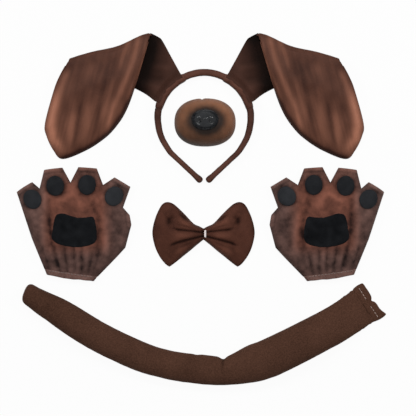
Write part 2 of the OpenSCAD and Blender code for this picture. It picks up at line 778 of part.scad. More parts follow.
module wrist_elastic()
    color(pale)
        on_wrist()
            translate([0, 0, fit])
                linear_extrude(hem_h - hem_cloth - 2 * fit)
                    hem_band(hem_cloth + fit, hem_cloth + fit + elastic_t);

module felt_pad(outline, mid)
    color(felt)
        skin(
            at_height(mid, paw_mid_z + palm_rise(mid) + pad_seat + pad_t),
            concat(
                [for (f = pad_rings) [for (p = outline) let(q = grow(p, mid, f))
                    at_height(q, paw_mid_z + palm_rise(q) + pad_seat + pad_t * mix(1, pad_edge, f * f))]],
                [for (k = [len(pad_rings) - 1 : -1 : 0]) [for (p = outline)
                    let(q = grow(p, mid, pad_rings[k])) at_height(q, paw_mid_z + palm_rise(q) + pad_seat)]]
            ),
            at_height(mid, paw_mid_z + palm_rise(mid) + pad_seat)
        );

module palm_pad() felt_pad(palm_pad_outline, [0, 0]);
module toe_pad(i) felt_pad(toe_outline(i), toe(i));

// Bow tie
module bow_back()
    color(satin_dark)
        on_bow()
            sheet(bow_sheet(cloth_t), bow_sheet(0));

module bow_front()
    color(satin)
        on_bow()
            sheet(bow_sheet(2 * cloth_t + fit), bow_sheet(cloth_t + fit));

module bow_binding()
    color(pale)
        on_bow()
            translate([-binding_w / 2, 0, binding_h / 2])
                rotate([90, 0, 90])
                    linear_extrude(binding_w)
                        difference() {
                            rounded(binding_in + 2 * binding_t, binding_h, 2 * binding_t);
                            rounded(binding_in, binding_h - 2 * binding_t, binding_t / 2);
                        }

// Tail
module tail_cover()
    color(velour)
        on_tail()
            skin(
                tail_core(0) - [1, 0, 0],
                concat(
                    [for (f = tail_stations) tail_ring(f, 0)],
                    [for (k = [len(tail_stations) - 1 : -1 : 1]) tail_ring(tail_stations[k], velour_t)]
                ),
                tail_core(tail_stations[1])
            );

module tail_stuffing()
    color(foam)
        on_tail()
            skin(
                tail_core(tail_stations[2]),
                [for (k = [2 : len(tail_stations) - 2]) tail_ring(tail_stations[k], velour_t + stuffing_slack)],
                tail_core(stuffing_to)
            );

module tail_hem()
    color(velour)
        on_tail()
            translate(at_height(tail_point(1), 0))
                rotate([0, 0, atan2(tail_dir(1).y, tail_dir(1).x)])
                    linear_extrude(tail_hem_t - flat_cut)
                        polygon([
                            [fit, -tail_end_w / 2], [tail_hem_l, -tail_end_w / 2],
                            [tail_hem_l, -hem_notch], [tail_hem_l - hem_notch, 0], [tail_hem_l, hem_notch],
                            [tail_hem_l, tail_end_w / 2], [fit, tail_end_w / 2]
                        ]);

on_head(1) headband_core();
on_head(1) headband_sleeve();
on_head(1) band_tip();  // left_band_tip
on_head(-1) band_tip();  // right_band_tip
on_head(1) ear_wrap();  // left_ear_wrap
on_head(-1) ear_wrap();  // right_ear_wrap
on_head(1) root_front();  // left_root_front
on_head(1) root_back();  // left_root_back
on_head(1) root_foam();  // left_root_foam
on_head(1) ear_fold();  // left_ear_fold
on_head(-1) root_front();  // right_root_front
on_head(-1) root_back();  // right_root_back
on_head(-1) root_foam();  // right_root_foam
on_head(-1) ear_fold();  // right_ear_fold
on_head(1) flap_front();  // left_flap_front
on_head(1) flap_back();  // left_flap_back
on_head(1) flap_foam();  // left_flap_foam
on_head(-1) flap_front();  // right_flap_front
on_head(-1) flap_back();  // right_flap_back
on_head(-1) flap_foam();  // right_flap_foam
muzzle();
nose_tip();
on_paw(1) palm_panel();  // left_palm_panel
on_paw(1) back_panel();  // left_back_panel
on_paw(1) wrist_hem();  // left_wrist_hem
on_paw(1) wrist_elastic();  // left_wrist_elastic
on_paw(1) palm_pad();  // left_palm_pad
on_paw(1) toe_pad(0);  // left_toe_pad_1
on_paw(1) toe_pad(1);  // left_toe_pad_2
on_paw(1) toe_pad(2);  // left_toe_pad_3
on_paw(1) toe_pad(3);  // left_toe_pad_4
on_paw(-1) palm_panel();  // right_palm_panel
on_paw(-1) back_panel();  // right_back_panel
on_paw(-1) wrist_hem();  // right_wrist_hem
on_paw(-1) wrist_elastic();  // right_wrist_elastic
on_paw(-1) palm_pad();  // right_palm_pad
on_paw(-1) toe_pad(0);  // right_toe_pad_1
on_paw(-1) toe_pad(1);  // right_toe_pad_2
on_paw(-1) toe_pad(2);  // right_toe_pad_3
on_paw(-1) toe_pad(3);  // right_toe_pad_4
bow_front();
bow_back();
bow_binding();
tail_cover();
tail_stuffing();
tail_hem();
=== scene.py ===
import json
import math

import bpy
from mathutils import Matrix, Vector, noise


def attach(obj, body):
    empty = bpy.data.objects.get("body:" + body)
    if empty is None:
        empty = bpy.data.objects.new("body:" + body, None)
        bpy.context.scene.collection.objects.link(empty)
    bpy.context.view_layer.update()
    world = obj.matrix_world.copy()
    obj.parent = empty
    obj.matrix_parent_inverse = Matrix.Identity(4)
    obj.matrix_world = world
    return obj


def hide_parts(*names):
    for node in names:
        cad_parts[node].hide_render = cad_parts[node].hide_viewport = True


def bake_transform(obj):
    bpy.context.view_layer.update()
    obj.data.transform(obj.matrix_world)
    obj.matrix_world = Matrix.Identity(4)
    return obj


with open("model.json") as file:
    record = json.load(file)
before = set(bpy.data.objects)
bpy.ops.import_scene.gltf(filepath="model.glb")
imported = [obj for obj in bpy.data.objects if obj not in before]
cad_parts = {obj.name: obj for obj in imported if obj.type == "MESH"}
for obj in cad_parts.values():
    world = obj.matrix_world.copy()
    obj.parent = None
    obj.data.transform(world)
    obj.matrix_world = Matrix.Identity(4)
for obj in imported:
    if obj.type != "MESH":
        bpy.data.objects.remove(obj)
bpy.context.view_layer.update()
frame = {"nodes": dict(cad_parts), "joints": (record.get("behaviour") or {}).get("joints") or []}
mm = 0.001
weldNear = 0.01 * mm
joints = {joint["name"]: joint for joint in frame["joints"]}
print("frame loaded with", len(frame["nodes"]), "nodes")


# Small tools that every piece uses
def clearSelection():
    if bpy.context.object and bpy.context.object.mode != "OBJECT":
        bpy.ops.object.mode_set(mode="OBJECT")
    bpy.ops.object.select_all(action="DESELECT")


def pick(piece):
    clearSelection()
    piece.select_set(True)
    bpy.context.view_layer.objects.active = piece


def named(name):
    piece = bpy.context.object
    piece.name = name
    piece.data.name = name
    return piece


def editAll(piece):  # edit mode with every point selected
    pick(piece)
    bpy.ops.object.mode_set(mode="EDIT")
    bpy.ops.mesh.select_all(action="SELECT")


def weld(piece):
    editAll(piece)
    bpy.ops.mesh.remove_doubles(threshold=weldNear)
    bpy.ops.mesh.normals_make_consistent(inside=False)
    bpy.ops.object.mode_set(mode="OBJECT")


def flipFaces(piece):
    editAll(piece)
    bpy.ops.mesh.flip_normals()
    bpy.ops.object.mode_set(mode="OBJECT")


def addGrid(name, across, along):  # both ways from -1 to 1
    clearSelection()
    bpy.ops.mesh.primitive_grid_add(x_subdivisions=across, y_subdivisions=along, size=2)
    return named(name)


def shapeGrid(piece, place):  # place gives millimetres
    for vert in piece.data.vertices:
        vert.co = Vector(place(vert.co.x, vert.co.y)) * mm


def modify(piece, kind, **settings):
    pick(piece)
    modifier = piece.modifiers.new(kind.lower(), kind)
    for key, value in settings.items():
        setattr(modifier, key, value)
    bpy.ops.object.modifier_apply(modifier=modifier.name)


def mirrorCopy(piece, name, middle):  # middle is the x that both sides share
    pick(piece)
    bpy.ops.object.duplicate()
    twin = named(name)
    for vert in twin.data.vertices:
        vert.co.x = 2 * middle * mm - vert.co.x
    flipFaces(twin)
    return twin


def joinPieces(pieces, name):
    clearSelection()
    for piece in pieces:
        piece.select_set(True)
    bpy.context.view_layer.objects.active = pieces[0]
    bpy.ops.object.join()
    return named(name)


def paint(piece, name, value):  # one number per point, which the material reads
    layer = piece.data.attributes.new(name, "FLOAT", "POINT")
    for vert in piece.data.vertices:
        layer.data[vert.index].value = value(vert.co / mm)


def dress(piece, body, material, slot, *stoodFor):
    pick(piece)
    bpy.ops.object.shade_smooth()
    piece.data.materials.clear()
    piece.data.materials.append(material)
    if body:
        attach(piece, body)
    if stoodFor:
        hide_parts(*stoodFor)


def mix(a, b, t):
    return a + (b - a) * t


def smooth(x):
    t = max(0.0, min(1.0, x))
    return t * t * (3 - 2 * t)


def polar(r, degrees):
    return Vector((r * math.cos(math.radians(degrees)), r * math.sin(math.radians(degrees))))


def bump(x, width):  # a soft hill one high, about zero
    return math.exp(-((x / width) ** 2))


def rough(p, size):  # smooth noise from -1 to 1, the same each time
    return noise.noise(Vector((p[0] / size, p[1] / size, p[2] / size)))


def curvePoint(points, t):  # Catmull-Rom through the points, t from 0 to 1
    spans = len(points) - 1
    i = min(int(t * spans), spans - 1)
    f = t * spans - i
    a, b = points[max(i - 1, 0)], points[i]
    c, d = points[i + 1], points[min(i + 2, spans)]
    return [
        q + (r - p) * f / 2 + (p - 2.5 * q + 2 * r - s / 2) * f * f
        + (1.5 * q - p / 2 - 1.5 * r + s / 2) * f ** 3
        for p, q, r, s in zip(a, b, c, d)
    ]


def smoothOutline(points, steps):
    total = steps * (len(points) - 1)
    return [Vector(curvePoint(points, k / total)) for k in range(total)]


def edgeDistance(p, a, b):
    along = max(0.0, min(1.0, (p - a).dot(b - a) / (b - a).length_squared))
    return (p - a.lerp(b, along)).length


def strokes(p, lines):  # soft ridges and grooves that fade at both ends: points, height, width
    total = 0.0
    for points, high, wide in lines:
        near = min(edgeDistance(p, Vector(a), Vector(b)) for a, b in zip(points, points[1:]))
        if near < 3 * wide:
            first, last = Vector(points[0]), Vector(points[-1])
            fade = min(6 * wide, 0.45 * (last - first).length)
            end = min((p - first).length, (p - last).length) / fade
            total += high * bump(near, wide) * smooth(end)
    return total


def squareRound(turn, n):  # a point of a rounded square two wide
    c, s = math.cos(turn), math.sin(turn)
    grow = (abs(c) ** n + abs(s) ** n) ** (-1 / n)
    return c * grow, s * grow


def node(tree, kind, settings=None, inputs=None):
    made = tree.nodes.new(kind)
    for key, value in (settings or {}).items():
        setattr(made, key, value)
    for key, value in (inputs or {}).items():
        if isinstance(value, bpy.types.NodeSocket):
            tree.links.new(value, made.inputs[key])
        else:
            made.inputs[key].default_value = value
    return made


def math2(tree, operation, a, b):
    return node(tree, "ShaderNodeMath", {"operation": operation}, {0: a, 1: b}).outputs[0]


def levelBetween(tree, value, low, high):
    inputs = {"Value": value, "To Min": low, "To Max": high}
    return node(tree, "ShaderNodeMapRange", None, inputs).outputs["Result"]


# Camera straight above, framed as the photograph is
cameraSetup = {
    "lens": 150, "sensor": 36, "pixels": 416, "mmPerPixel": 1.3, "middle": (9.84, 0.65), "focusZ": 8,
}
cameraHigh = cameraSetup["pixels"] * cameraSetup["mmPerPixel"] * cameraSetup["lens"] / cameraSetup["sensor"]
clearSelection()
bpy.ops.object.camera_add(
    location=Vector((*cameraSetup["middle"], cameraHigh + cameraSetup["focusZ"])) * mm, rotation=(0, 0, 0)
)
topCamera = bpy.context.object
topCamera.data.lens = cameraSetup["lens"]
topCamera.data.sensor_width = cameraSetup["sensor"]
bpy.context.scene.camera = topCamera

# Pale floor, world and three soft lamps
stageSetup = {
    "floorSize": 9.0, "floorZ": -0.0002, "floorColour": (0.65, 0.65, 0.65, 1), "white": 0.95,
    "worldStrength": 0.3,
    "lamps": [  # place in metres, size in metres, watts
        ("crownLamp", (0.0, 0.75, 1.45), 0.4, 11.0),
        ("leftLamp", (-1.05, 0.3, 1.05), 0.36, 6.6),
        ("rightLamp", (1.05, 0.3, 1.05), 0.36, 6.6),
    ],
}


def brightForCamera(tree):  # 1 for what the camera sees straight, in gloss or through glass
    path = node(tree, "ShaderNodeLightPath").outputs
    glossy = math2(tree, "MAXIMUM", path["Is Camera Ray"], path["Is Glossy Ray"])
    return math2(tree, "MAXIMUM", glossy, path["Is Transmission Ray"])


def makeFloor():
    clearSelection()
    bpy.ops.mesh.primitive_plane_add(size=stageSetup["floorSize"], location=(0, 0, stageSetup["floorZ"]))
    floor = named("paleFloor")
    bpy.ops.object.transform_apply(location=True)
    look = bpy.data.materials.new("paleFloor")
    look.use_nodes = True
    tree = look.node_tree
    tree.nodes.clear()
    matte = node(tree, "ShaderNodeBsdfDiffuse", None, {"Color": stageSetup["floorColour"]}).outputs["BSDF"]
    white = node(tree, "ShaderNodeEmission").outputs["Emission"]
    share = math2(tree, "MULTIPLY", brightForCamera(tree), stageSetup["white"])
    blend = node(tree, "ShaderNodeMixShader", None, {"Fac": share, 1: matte, 2: white}).outputs["Shader"]
    node(tree, "ShaderNodeOutputMaterial", None, {"Surface": blend})
    floor.data.materials.append(look)


def makeWorld():
    world = bpy.data.worlds.new("studio")
    bpy.context.scene.world = world
    world.use_nodes = True
    tree = world.node_tree
    sky = tree.nodes["Background"]
    sky.inputs["Color"].default_value = (1, 1, 1, 1)
    strength = levelBetween(tree, brightForCamera(tree), stageSetup["worldStrength"], 1)
    tree.links.new(strength, sky.inputs["Strength"])


def makeLamps():
    for name, place, size, watts in stageSetup["lamps"]:
        clearSelection()
        aim = (-Vector(place)).to_track_quat("-Z", "Y").to_euler()
        bpy.ops.object.light_add(type="AREA", location=place, rotation=aim)
        lamp = named(name)
        lamp.data.shape = "DISK"
        lamp.data.size = size
        lamp.data.energy = watts


makeFloor()
makeWorld()
makeLamps()
bpy.context.scene.view_settings.view_transform = "Standard"
print("camera, floor and lamps set")


# Shared effects, each a group of nodes
def newGroup(name, inputs, outputs):
    group = bpy.data.node_groups.new(name, "ShaderNodeTree")
    kinds = {float: "NodeSocketFloat", tuple: "NodeSocketColor"}
    for label, start in inputs.items():
        socket = group.interface.new_socket(label, in_out="INPUT", socket_type=kinds[type(start)])
        socket.default_value = start
    for label, kind in outputs.items():
        group.interface.new_socket(label, in_out="OUTPUT", socket_type=kinds[kind])
    return group, group.nodes.new("NodeGroupInput"), group.nodes.new("NodeGroupOutput")


def objectPlace(tree):
    return node(tree, "ShaderNodeTexCoord").outputs["Object"]


def noiseAt(tree, place, scale, detail, **more):
    inputs = {"Vector": place, "Scale": scale, "Detail": detail, **more}
    return node(tree, "ShaderNodeTexNoise", None, inputs).outputs[0]


def mixColours(tree, factor, low, high, way="MIX"):
    settings = {"data_type": "RGBA", "blend_type": way}
    return node(tree, "ShaderNodeMix", settings, {"Factor": factor, 6: low, 7: high}).outputs[2]


def makePatchTone():  # cloth colour that drifts in patches and in small specks
    group, given, out = newGroup(
        "patchTone",
        {"Dark": (0.0, 0.0, 0.0, 1.0), "Light": (1.0, 1.0, 1.0, 1.0), "Tone": 0.5,
         "Patch": 30.0, "Speck": 900.0, "Patchiness": 0.5, "Speckle": 0.3},
        {"Colour": tuple, "Fac": float},
    )
    place = objectPlace(group)
    level = given.outputs["Tone"]
    for size, amount, detail in (("Patch", "Patchiness", 3.0), ("Speck", "Speckle", 2.0)):
        drift = math2(group, "SUBTRACT", noiseAt(group, place, given.outputs[size], detail), 0.5)
        level = math2(group, "ADD", level, math2(group, "MULTIPLY", drift, given.outputs[amount]))
    clamp = node(group, "ShaderNodeClamp", None, {"Value": level}).outputs[0]
    colour = mixColours(group, clamp, given.outputs["Dark"], given.outputs["Light"])
    group.links.new(colour, out.inputs["Colour"])
    group.links.new(clamp, out.inputs["Fac"])
    return group


def makeThreadWeave():  # warp and weft, with a twill slant
    group, given, out = newGroup("threadWeave", {"Threads": 600.0, "Slant": 0.6}, {"Height": float})
    lay = {
        "Vector": objectPlace(group), "Scale": given.outputs["Threads"],
        "Distortion": 0.4, "Detail Scale": 0.4,
    }
    warp, weft = (
        node(group, "ShaderNodeTexWave", {"wave_type": "BANDS", "bands_direction": way}, lay).outputs[1]
        for way in ("DIAGONAL", "X")
    )
    crossed = math2(group, "ADD", math2(group, "MULTIPLY", warp, given.outputs["Slant"]), weft)
    group.links.new(math2(group, "MULTIPLY", crossed, 0.6), out.inputs["Height"])
    return group


def makePile():  # short brushed fibres, lying more along one way
    group, given, out = newGroup("pile", {"Fibres": 1500.0, "Clumps": 180.0}, {"Height": float})
    combing = {"Vector": objectPlace(group), "Scale": (1.0, 0.35, 0.7)}
    combed = node(group, "ShaderNodeMapping", None, combing).outputs[0]
    fibre = noiseAt(group, combed, given.outputs["Fibres"], 4.0, Roughness=0.7, Distortion=0.6)
    clump = noiseAt(group, combed, given.outputs["Clumps"], 2.0)
    group.links.new(math2(group, "ADD", fibre, math2(group, "MULTIPLY", clump, 0.8)), out.inputs["Height"])
    return group


patchTone = makePatchTone()
threadWeave = makeThreadWeave()
pile = makePile()


# Finishes: colours are linear, distances in metres
def newLook(name, constants):
    look = bpy.data.materials.new(name)
    look.use_nodes = True
    shader = look.node_tree.nodes["Principled BSDF"]
    for socket, value in constants.items():
        shader.inputs[socket].default_value = value
    return look, look.node_tree, shader


def placeGroup(tree, group, inputs):
    return node(tree, "ShaderNodeGroup", {"node_tree": group}, inputs)


def pointValue(tree, name):
    return node(tree, "ShaderNodeAttribute", {"attribute_name": name}).outputs["Fac"]


def roughen(tree, shader, height, strength, distance):
    relief = {"Height": height, "Strength": strength, "Distance": distance}
    tree.links.new(node(tree, "ShaderNodeBump", None, relief).outputs[0], shader.inputs["Normal"])


def colourAndGloss(tree, shader, colour, mask, low, high):  # roughness runs from low to high with the mask
    tree.links.new(colour, shader.inputs["Base Color"])
    tree.links.new(levelBetween(tree, mask, low, high), shader.inputs["Roughness"])


def sheen(weight, roughness, tint, specular):
    return {
        "Sheen Weight": weight, "Sheen Roughness": roughness, "Sheen Tint": (*tint, 1),
        "Specular IOR Level": specular,
    }


def cloth(name, settings):  # without a tone of its own it reads the painted one
    look, tree, shader = newLook(name, settings["constants"])
    tone = settings["tone"] if "tone" in settings else pointValue(tree, "tone")
    dyed = placeGroup(tree, patchTone, {
        "Dark": (*settings["dark"], 1), "Light": (*settings["light"], 1), "Tone": tone,
        "Patch": settings["patch"], "Speck": settings["speck"],
        "Patchiness": settings["patchiness"], "Speckle": settings["speckle"],
    })
    smoothest, roughest = settings["rough"]
    colourAndGloss(tree, shader, dyed.outputs["Colour"], dyed.outputs["Fac"], roughest, smoothest)
    grain = placeGroup(tree, settings["grain"], settings["grainInputs"]).outputs["Height"]
    roughen(tree, shader, grain, settings["relief"], settings["reliefDeep"])
    return look


def recolour(look, change):  # change makes the new colour out of the old one
    tree = look.node_tree
    base = tree.nodes["Principled BSDF"].inputs["Base Color"]
    tree.links.new(change(tree, base.links[0].from_socket), base)


def streakThreads(tree, dyed):  # fine pale and dark threads along the ear
    across, along = pointValue(tree, "across"), pointValue(tree, "along")
    place = node(tree, "ShaderNodeCombineXYZ", None, {"X": across, "Y": along}).outputs[0]
    threads = node(tree, "ShaderNodeTexNoise", {"noise_dimensions": "2D"}, {
        "Vector": place, "Scale": 1.0, "Detail": 4.0, "Roughness": 0.62,
    }).outputs[0]
    level = node(tree, "ShaderNodeMapRange", None, {
        "Value": threads, "From Min": 0.3, "From Max": 0.7, "To Min": 0.89, "To Max": 1.11,
    }).outputs["Result"]
    return mixColours(tree, 1.0, dyed, level, "MULTIPLY")


def warmPalm(tree, pelt):  # red-brown in the palm, greyer to the sides
    faded = {"Saturation": 0.68, "Value": 0.74, "Color": pelt}
    grey = node(tree, "ShaderNodeHueSaturation", None, faded).outputs[0]
    return mixColours(tree, pointValue(tree, "warm"), grey, pelt)


satinWeave = {"grain": threadWeave, "grainInputs": {"Threads": 520.0, "Slant": 0.7}, "reliefDeep": 0.0002}
satinTint, brownTint = (0.8, 0.5, 0.4), (0.85, 0.55, 0.45)
satin = cloth("earSatin", {
    "dark": (0.026, 0.009, 0.006), "light": (0.330, 0.135, 0.084),
    "patch": 22.0, "speck": 500.0, "patchiness": 0.2, "speckle": 0.06, "rough": (0.42, 0.55),
    **satinWeave, "relief": 0.2, "constants": sheen(0.04, 0.35, satinTint, 0.07),
})
recolour(satin, streakThreads)
# darker satin for the ear roots; its dark colours are partly painted shade, for the flap shading the root
lining = cloth("earLining", {
    "dark": (0.004, 0.002, 0.0015), "light": (0.110, 0.048, 0.034),
    "patch": 26.0, "speck": 500.0, "patchiness": 0.3, "speckle": 0.08, "rough": (0.5, 0.65),
    **satinWeave, "relief": 0.25, "constants": sheen(0.03, 0.4, satinTint, 0.03),
})
bandSatin = cloth("bandSatin", {
    "dark": (0.020, 0.007, 0.005), "light": (0.135, 0.055, 0.037),
    "patch": 60.0, "speck": 600.0, "patchiness": 0.6, "speckle": 0.15, "rough": (0.45, 0.6),
    **satinWeave, "relief": 0.3, "constants": sheen(0.03, 0.4, satinTint, 0.06),
})
plush = cloth("pawPlush", {
    "dark": (0.016, 0.007, 0.006), "light": (0.330, 0.122, 0.080),
    "patch": 75.0, "speck": 1400.0, "patchiness": 0.6, "speckle": 0.35, "rough": (0.8, 0.95),
    "grain": pile, "grainInputs": {"Fibres": 1500.0, "Clumps": 200.0}, "relief": 0.55, "reliefDeep": 0.0006,
    "constants": sheen(0.10, 0.45, (0.9, 0.68, 0.62), 0.08),
})
recolour(plush, warmPalm)
felt = cloth("padFelt", {
    "dark": (0.003, 0.0032, 0.0038), "light": (0.034, 0.036, 0.040),
    "patch": 70.0, "speck": 1600.0, "patchiness": 0.3, "speckle": 0.3, "rough": (0.88, 0.98),
    "grain": pile, "grainInputs": {"Fibres": 1900.0, "Clumps": 300.0}, "relief": 0.5, "reliefDeep": 0.0005,
    "constants": sheen(0.02, 0.5, (0.85, 0.9, 1), 0.03),
})
bowCloth = cloth("bowCloth", {
    "dark": (0.014, 0.0045, 0.003), "light": (0.160, 0.059, 0.037),
    "patch": 45.0, "speck": 1200.0, "patchiness": 0.5, "speckle": 0.35, "rough": (0.62, 0.75),
    "grain": threadWeave, "grainInputs": {"Threads": 420.0, "Slant": 0.4},
    "relief": 0.35, "reliefDeep": 0.0003, "constants": sheen(0.05, 0.45, brownTint, 0.05),
})
velour = cloth("tailVelour", {
    "dark": (0.016, 0.007, 0.004), "light": (0.140, 0.064, 0.041),
    "patch": 28.0, "speck": 700.0, "patchiness": 0.3, "speckle": 0.8, "rough": (0.8, 0.92),
    "grain": pile, "grainInputs": {"Fibres": 1100.0, "Clumps": 260.0}, "relief": 0.5, "reliefDeep": 0.0005,
    "constants": sheen(0.07, 0.4, brownTint, 0.05),
})
sewing = {
    "dark": (0.20, 0.13, 0.11), "light": (0.56, 0.43, 0.37), "tone": 0.6,
    "patch": 90.0, "speck": 2500.0, "patchiness": 0.5, "speckle": 0.5, "rough": (0.6, 0.75),
    "grain": threadWeave, "grainInputs": {"Threads": 1600.0, "Slant": 1.0},
    "relief": 0.3, "reliefDeep": 0.0002, "constants": {"Sheen Weight": 0.2},
}
paleThread = cloth("paleThread", sewing)
dullThread = cloth("dullThread", {**sewing, "dark": (0.09, 0.058, 0.05), "light": (0.27, 0.195, 0.17)})
paleElastic = cloth("paleElastic", {
    "dark": (0.55, 0.46, 0.44), "light": (0.88, 0.80, 0.78), "tone": 0.75,
    "patch": 120.0, "speck": 1500.0, "patchiness": 0.3, "speckle": 0.3, "rough": (0.6, 0.75),
    "grain": threadWeave, "grainInputs": {"Threads": 700.0, "Slant": 0.0},
    "relief": 0.6, "reliefDeep": 0.0004, "constants": {"Sheen Weight": 0.2},
})


def makeLatex():  # skin colour under an airbrushed dark ring, darker to the chin
    look, tree, shader = newLook("noseLatex", {
        "Specular IOR Level": 0.08, "Subsurface Weight": 0.04, "Subsurface Scale": 0.002,
        "Coat Weight": 0.01, "Coat Roughness": 0.35,
    })
    skin = placeGroup(tree, patchTone, {
        "Dark": (0.030, 0.016, 0.010, 1), "Light": (0.34, 0.150, 0.082, 1),
        "Tone": pointValue(tree, "tone"),
        "Patch": 55.0, "Speck": 700.0, "Patchiness": 0.35, "Speckle": 0.12,
    })
    sprayed = (0.012, 0.010, 0.009, 1)
    ringed = mixColours(tree, pointValue(tree, "airbrush"), skin.outputs["Colour"], sprayed)
    pores = noiseAt(tree, objectPlace(tree), 420.0, 4.0)
    colourAndGloss(tree, shader, ringed, pores, 0.42, 0.6)
    roughen(tree, shader, pores, 0.25, 0.0004)
    return look


def makeNoseBlack():  # gloss lacquer over a pebbled surface
    look, tree, shader = newLook("noseBlack", {"Specular IOR Level": 0.06, "Coat Roughness": 0.07})
    tree.links.new(pointValue(tree, "gloss"), shader.inputs["Coat Weight"])
    place = objectPlace(tree)
    pebbles = node(tree, "ShaderNodeTexVoronoi", {"feature": "SMOOTH_F1"}, {
        "Vector": place, "Scale": 420.0, "Smoothness": 0.8,
    }).outputs["Distance"]
    dust = noiseAt(tree, place, 190.0, 5.0)
    black = mixColours(tree, dust, (0.002, 0.0024, 0.003, 1), (0.016, 0.018, 0.021, 1))
    colourAndGloss(tree, shader, black, dust, 0.14, 0.34)
    roughen(tree, shader, pebbles, 0.5, 0.0012)
    return look


def makeSpringPlastic():
    look, tree, shader = newLook("springPlastic", {"Specular IOR Level": 0.4})
    grain = noiseAt(tree, objectPlace(tree), 900.0, 4.0)
    grey = mixColours(tree, grain, (0.012, 0.012, 0.013, 1), (0.032, 0.032, 0.034, 1))
    colourAndGloss(tree, shader, grey, grain, 0.4, 0.6)
    roughen(tree, shader, grain, 0.2, 0.0002)
    return look


latex = makeLatex()
noseBlack = makeNoseBlack()
springPlastic = makeSpringPlastic()
springCore = frame["nodes"]["headband_core"]
springCore.data.materials.clear()
springCore.data.materials.append(springPlastic)
print("finishes made")


# Shapes shared by several pieces
def makeTube(name, around, along, station):  # station gives millimetres from a share along and a turn
    piece = addGrid(name, around, along)
    shapeGrid(piece, lambda u, v: station((v + 1) / 2, math.pi * (u + 1)))
    weld(piece)
    return piece


def makePad(name, outline, mid, rings, place):  # two skins that meet in a rounded edge
    count = len(outline)
    piece = addGrid(name, count, 2 * rings)

    def skin(u, v):
        f = math.sin((1 - abs(v)) * math.pi / 2)
        edge = outline[round((u + 1) / 2 * count) % count]
        return place(mid.lerp(edge, f), f, 1 if v < 0 else -1)

    shapeGrid(piece, skin)
    weld(piece)
    return piece


def makeCord(name, route, radius, around=8):  # thin round cord along points in millimetres
    last = len(route) - 1
    piece = addGrid(name, around, last)

    def place(u, v):
        k = round((v + 1) / 2 * last)
        along = (route[min(k + 1, last)] - route[max(k - 1, 0)]).normalized()
        side = along.cross(Vector((0, 0, 1))).normalized()
        up = side.cross(along)
        turn = math.pi * (u + 1)
        return route[k] + (side * math.cos(turn) + up * math.sin(turn)) * radius

    shapeGrid(piece, place)
    weld(piece)
    return piece


def inflate(piece, held, settings):  # cloth simulation: the cover swells between the places that are held
    modify(piece, "REMESH", mode="VOXEL", voxel_size=settings["voxel"] * mm)
    before = [vert.co.copy() for vert in piece.data.vertices]
    sewn = piece.vertex_groups.new(name="sewn")
    for vert in piece.data.vertices:
        sewn.add([vert.index], held(vert.co / mm), "REPLACE")
    pick(piece)
    cover = piece.modifiers.new("cover", "CLOTH")
    cover.settings.use_pressure = True
    cover.settings.uniform_pressure_force = settings["pressure"]
    cover.settings.vertex_group_mass = "sewn"
    cover.settings.effector_weights.gravity = 0
    for step in range(1, settings["steps"] + 1):
        bpy.context.scene.frame_set(step)
    bpy.ops.object.modifier_apply(modifier="cover")
    bpy.context.scene.frame_set(1)
    piece.vertex_groups.clear()
    moved = [(vert.co - was).length / mm for vert, was in zip(piece.data.vertices, before)]
    for vert, was, far in zip(piece.data.vertices, before, moved):
        vert.co = was.lerp(vert.co, min(1, settings["most"] / max(far, 0.001)))
    modify(piece, "SUBSURF", levels=1)
    print(piece.name, "inflated, points", len(moved), "most moved", round(max(moved), 2), "mm")


# Headband: a padded sleeve on the spring, with rounded ends
band = {
    "middle": Vector((5, 115.256)), "z": 7.5, "r": 61, "close": 47, "endLong": 45.75, "thick": 9,
    "wide": 12, "endThick": 6, "endWide": 9, "taperFrom": 80, "taperAtLoop": 0.6, "square": 3.0,
    "ripple": 0.22, "around": 28, "along": 260,
    "tip": 4.3, "tipNeck": 3.7, "tipLong": 12.6, "tipBack": 5.8, "tipAlong": 24,
    "crownOut": 0.7, "crownHalf": 24, "armIn": 1.0, "armFrom": 78, "armEase": 20,
    "easeEnd": 137, "easeSoft": 14, "endFlare": 1.1, "flareFrom": 0.66, "flareEase": 0.34, "fill": 0.7,
}
bandArc = math.radians(180 + 2 * band["close"]) * band["r"]
bandLong = bandArc + 2 * band["endLong"]


def bandStation(t):  # middle, outward way, thickness and width
    d = t * bandLong - band["endLong"]
    if d < 0:
        angle, share = 180 + band["close"], mix(band["taperAtLoop"], 1, -d / band["endLong"])
        middle = polar(band["r"], angle) + polar(-d, angle + 90)
    elif d > bandArc:
        angle, share = -band["close"], mix(band["taperAtLoop"], 1, (d - bandArc) / band["endLong"])
        middle = polar(band["r"], angle) + polar(d - bandArc, angle - 90)
    else:
        angle = 180 + band["close"] - math.degrees(d / band["r"])
        fromCrown = abs(angle - 90)
        taper = (fromCrown - band["taperFrom"]) / (90 + band["close"] - band["taperFrom"])
        share = band["taperAtLoop"] * max(0, taper)
        ease = band["crownOut"] * bump(angle - 90, band["crownHalf"])
        ease -= band["armIn"] * smooth((fromCrown - band["armFrom"]) / band["armEase"])
        middle = polar(band["r"] + ease * smooth((band["easeEnd"] - fromCrown) / band["easeSoft"]), angle)
    thick = mix(band["thick"], band["endThick"], share)
    thick += band["endFlare"] * smooth((share - band["flareFrom"]) / band["flareEase"])
    wide = mix(band["wide"], band["endWide"], share)
    return middle + band["middle"], polar(1, angle), thick, wide


def bandSkin(t, turn):
    middle, out, thick, wide = bandStation(t)
    c, s = squareRound(turn, band["square"])
    drift = rough((t * bandLong, turn * 4, 0), 7) + 0.5 * rough((t * bandLong, turn * 6, 3), 2.6)
    grow = band["ripple"] * drift
    flat = middle + out * c * (thick / 2 + grow)
    return flat.x, flat.y, band["z"] + s * (wide / 2 + grow)


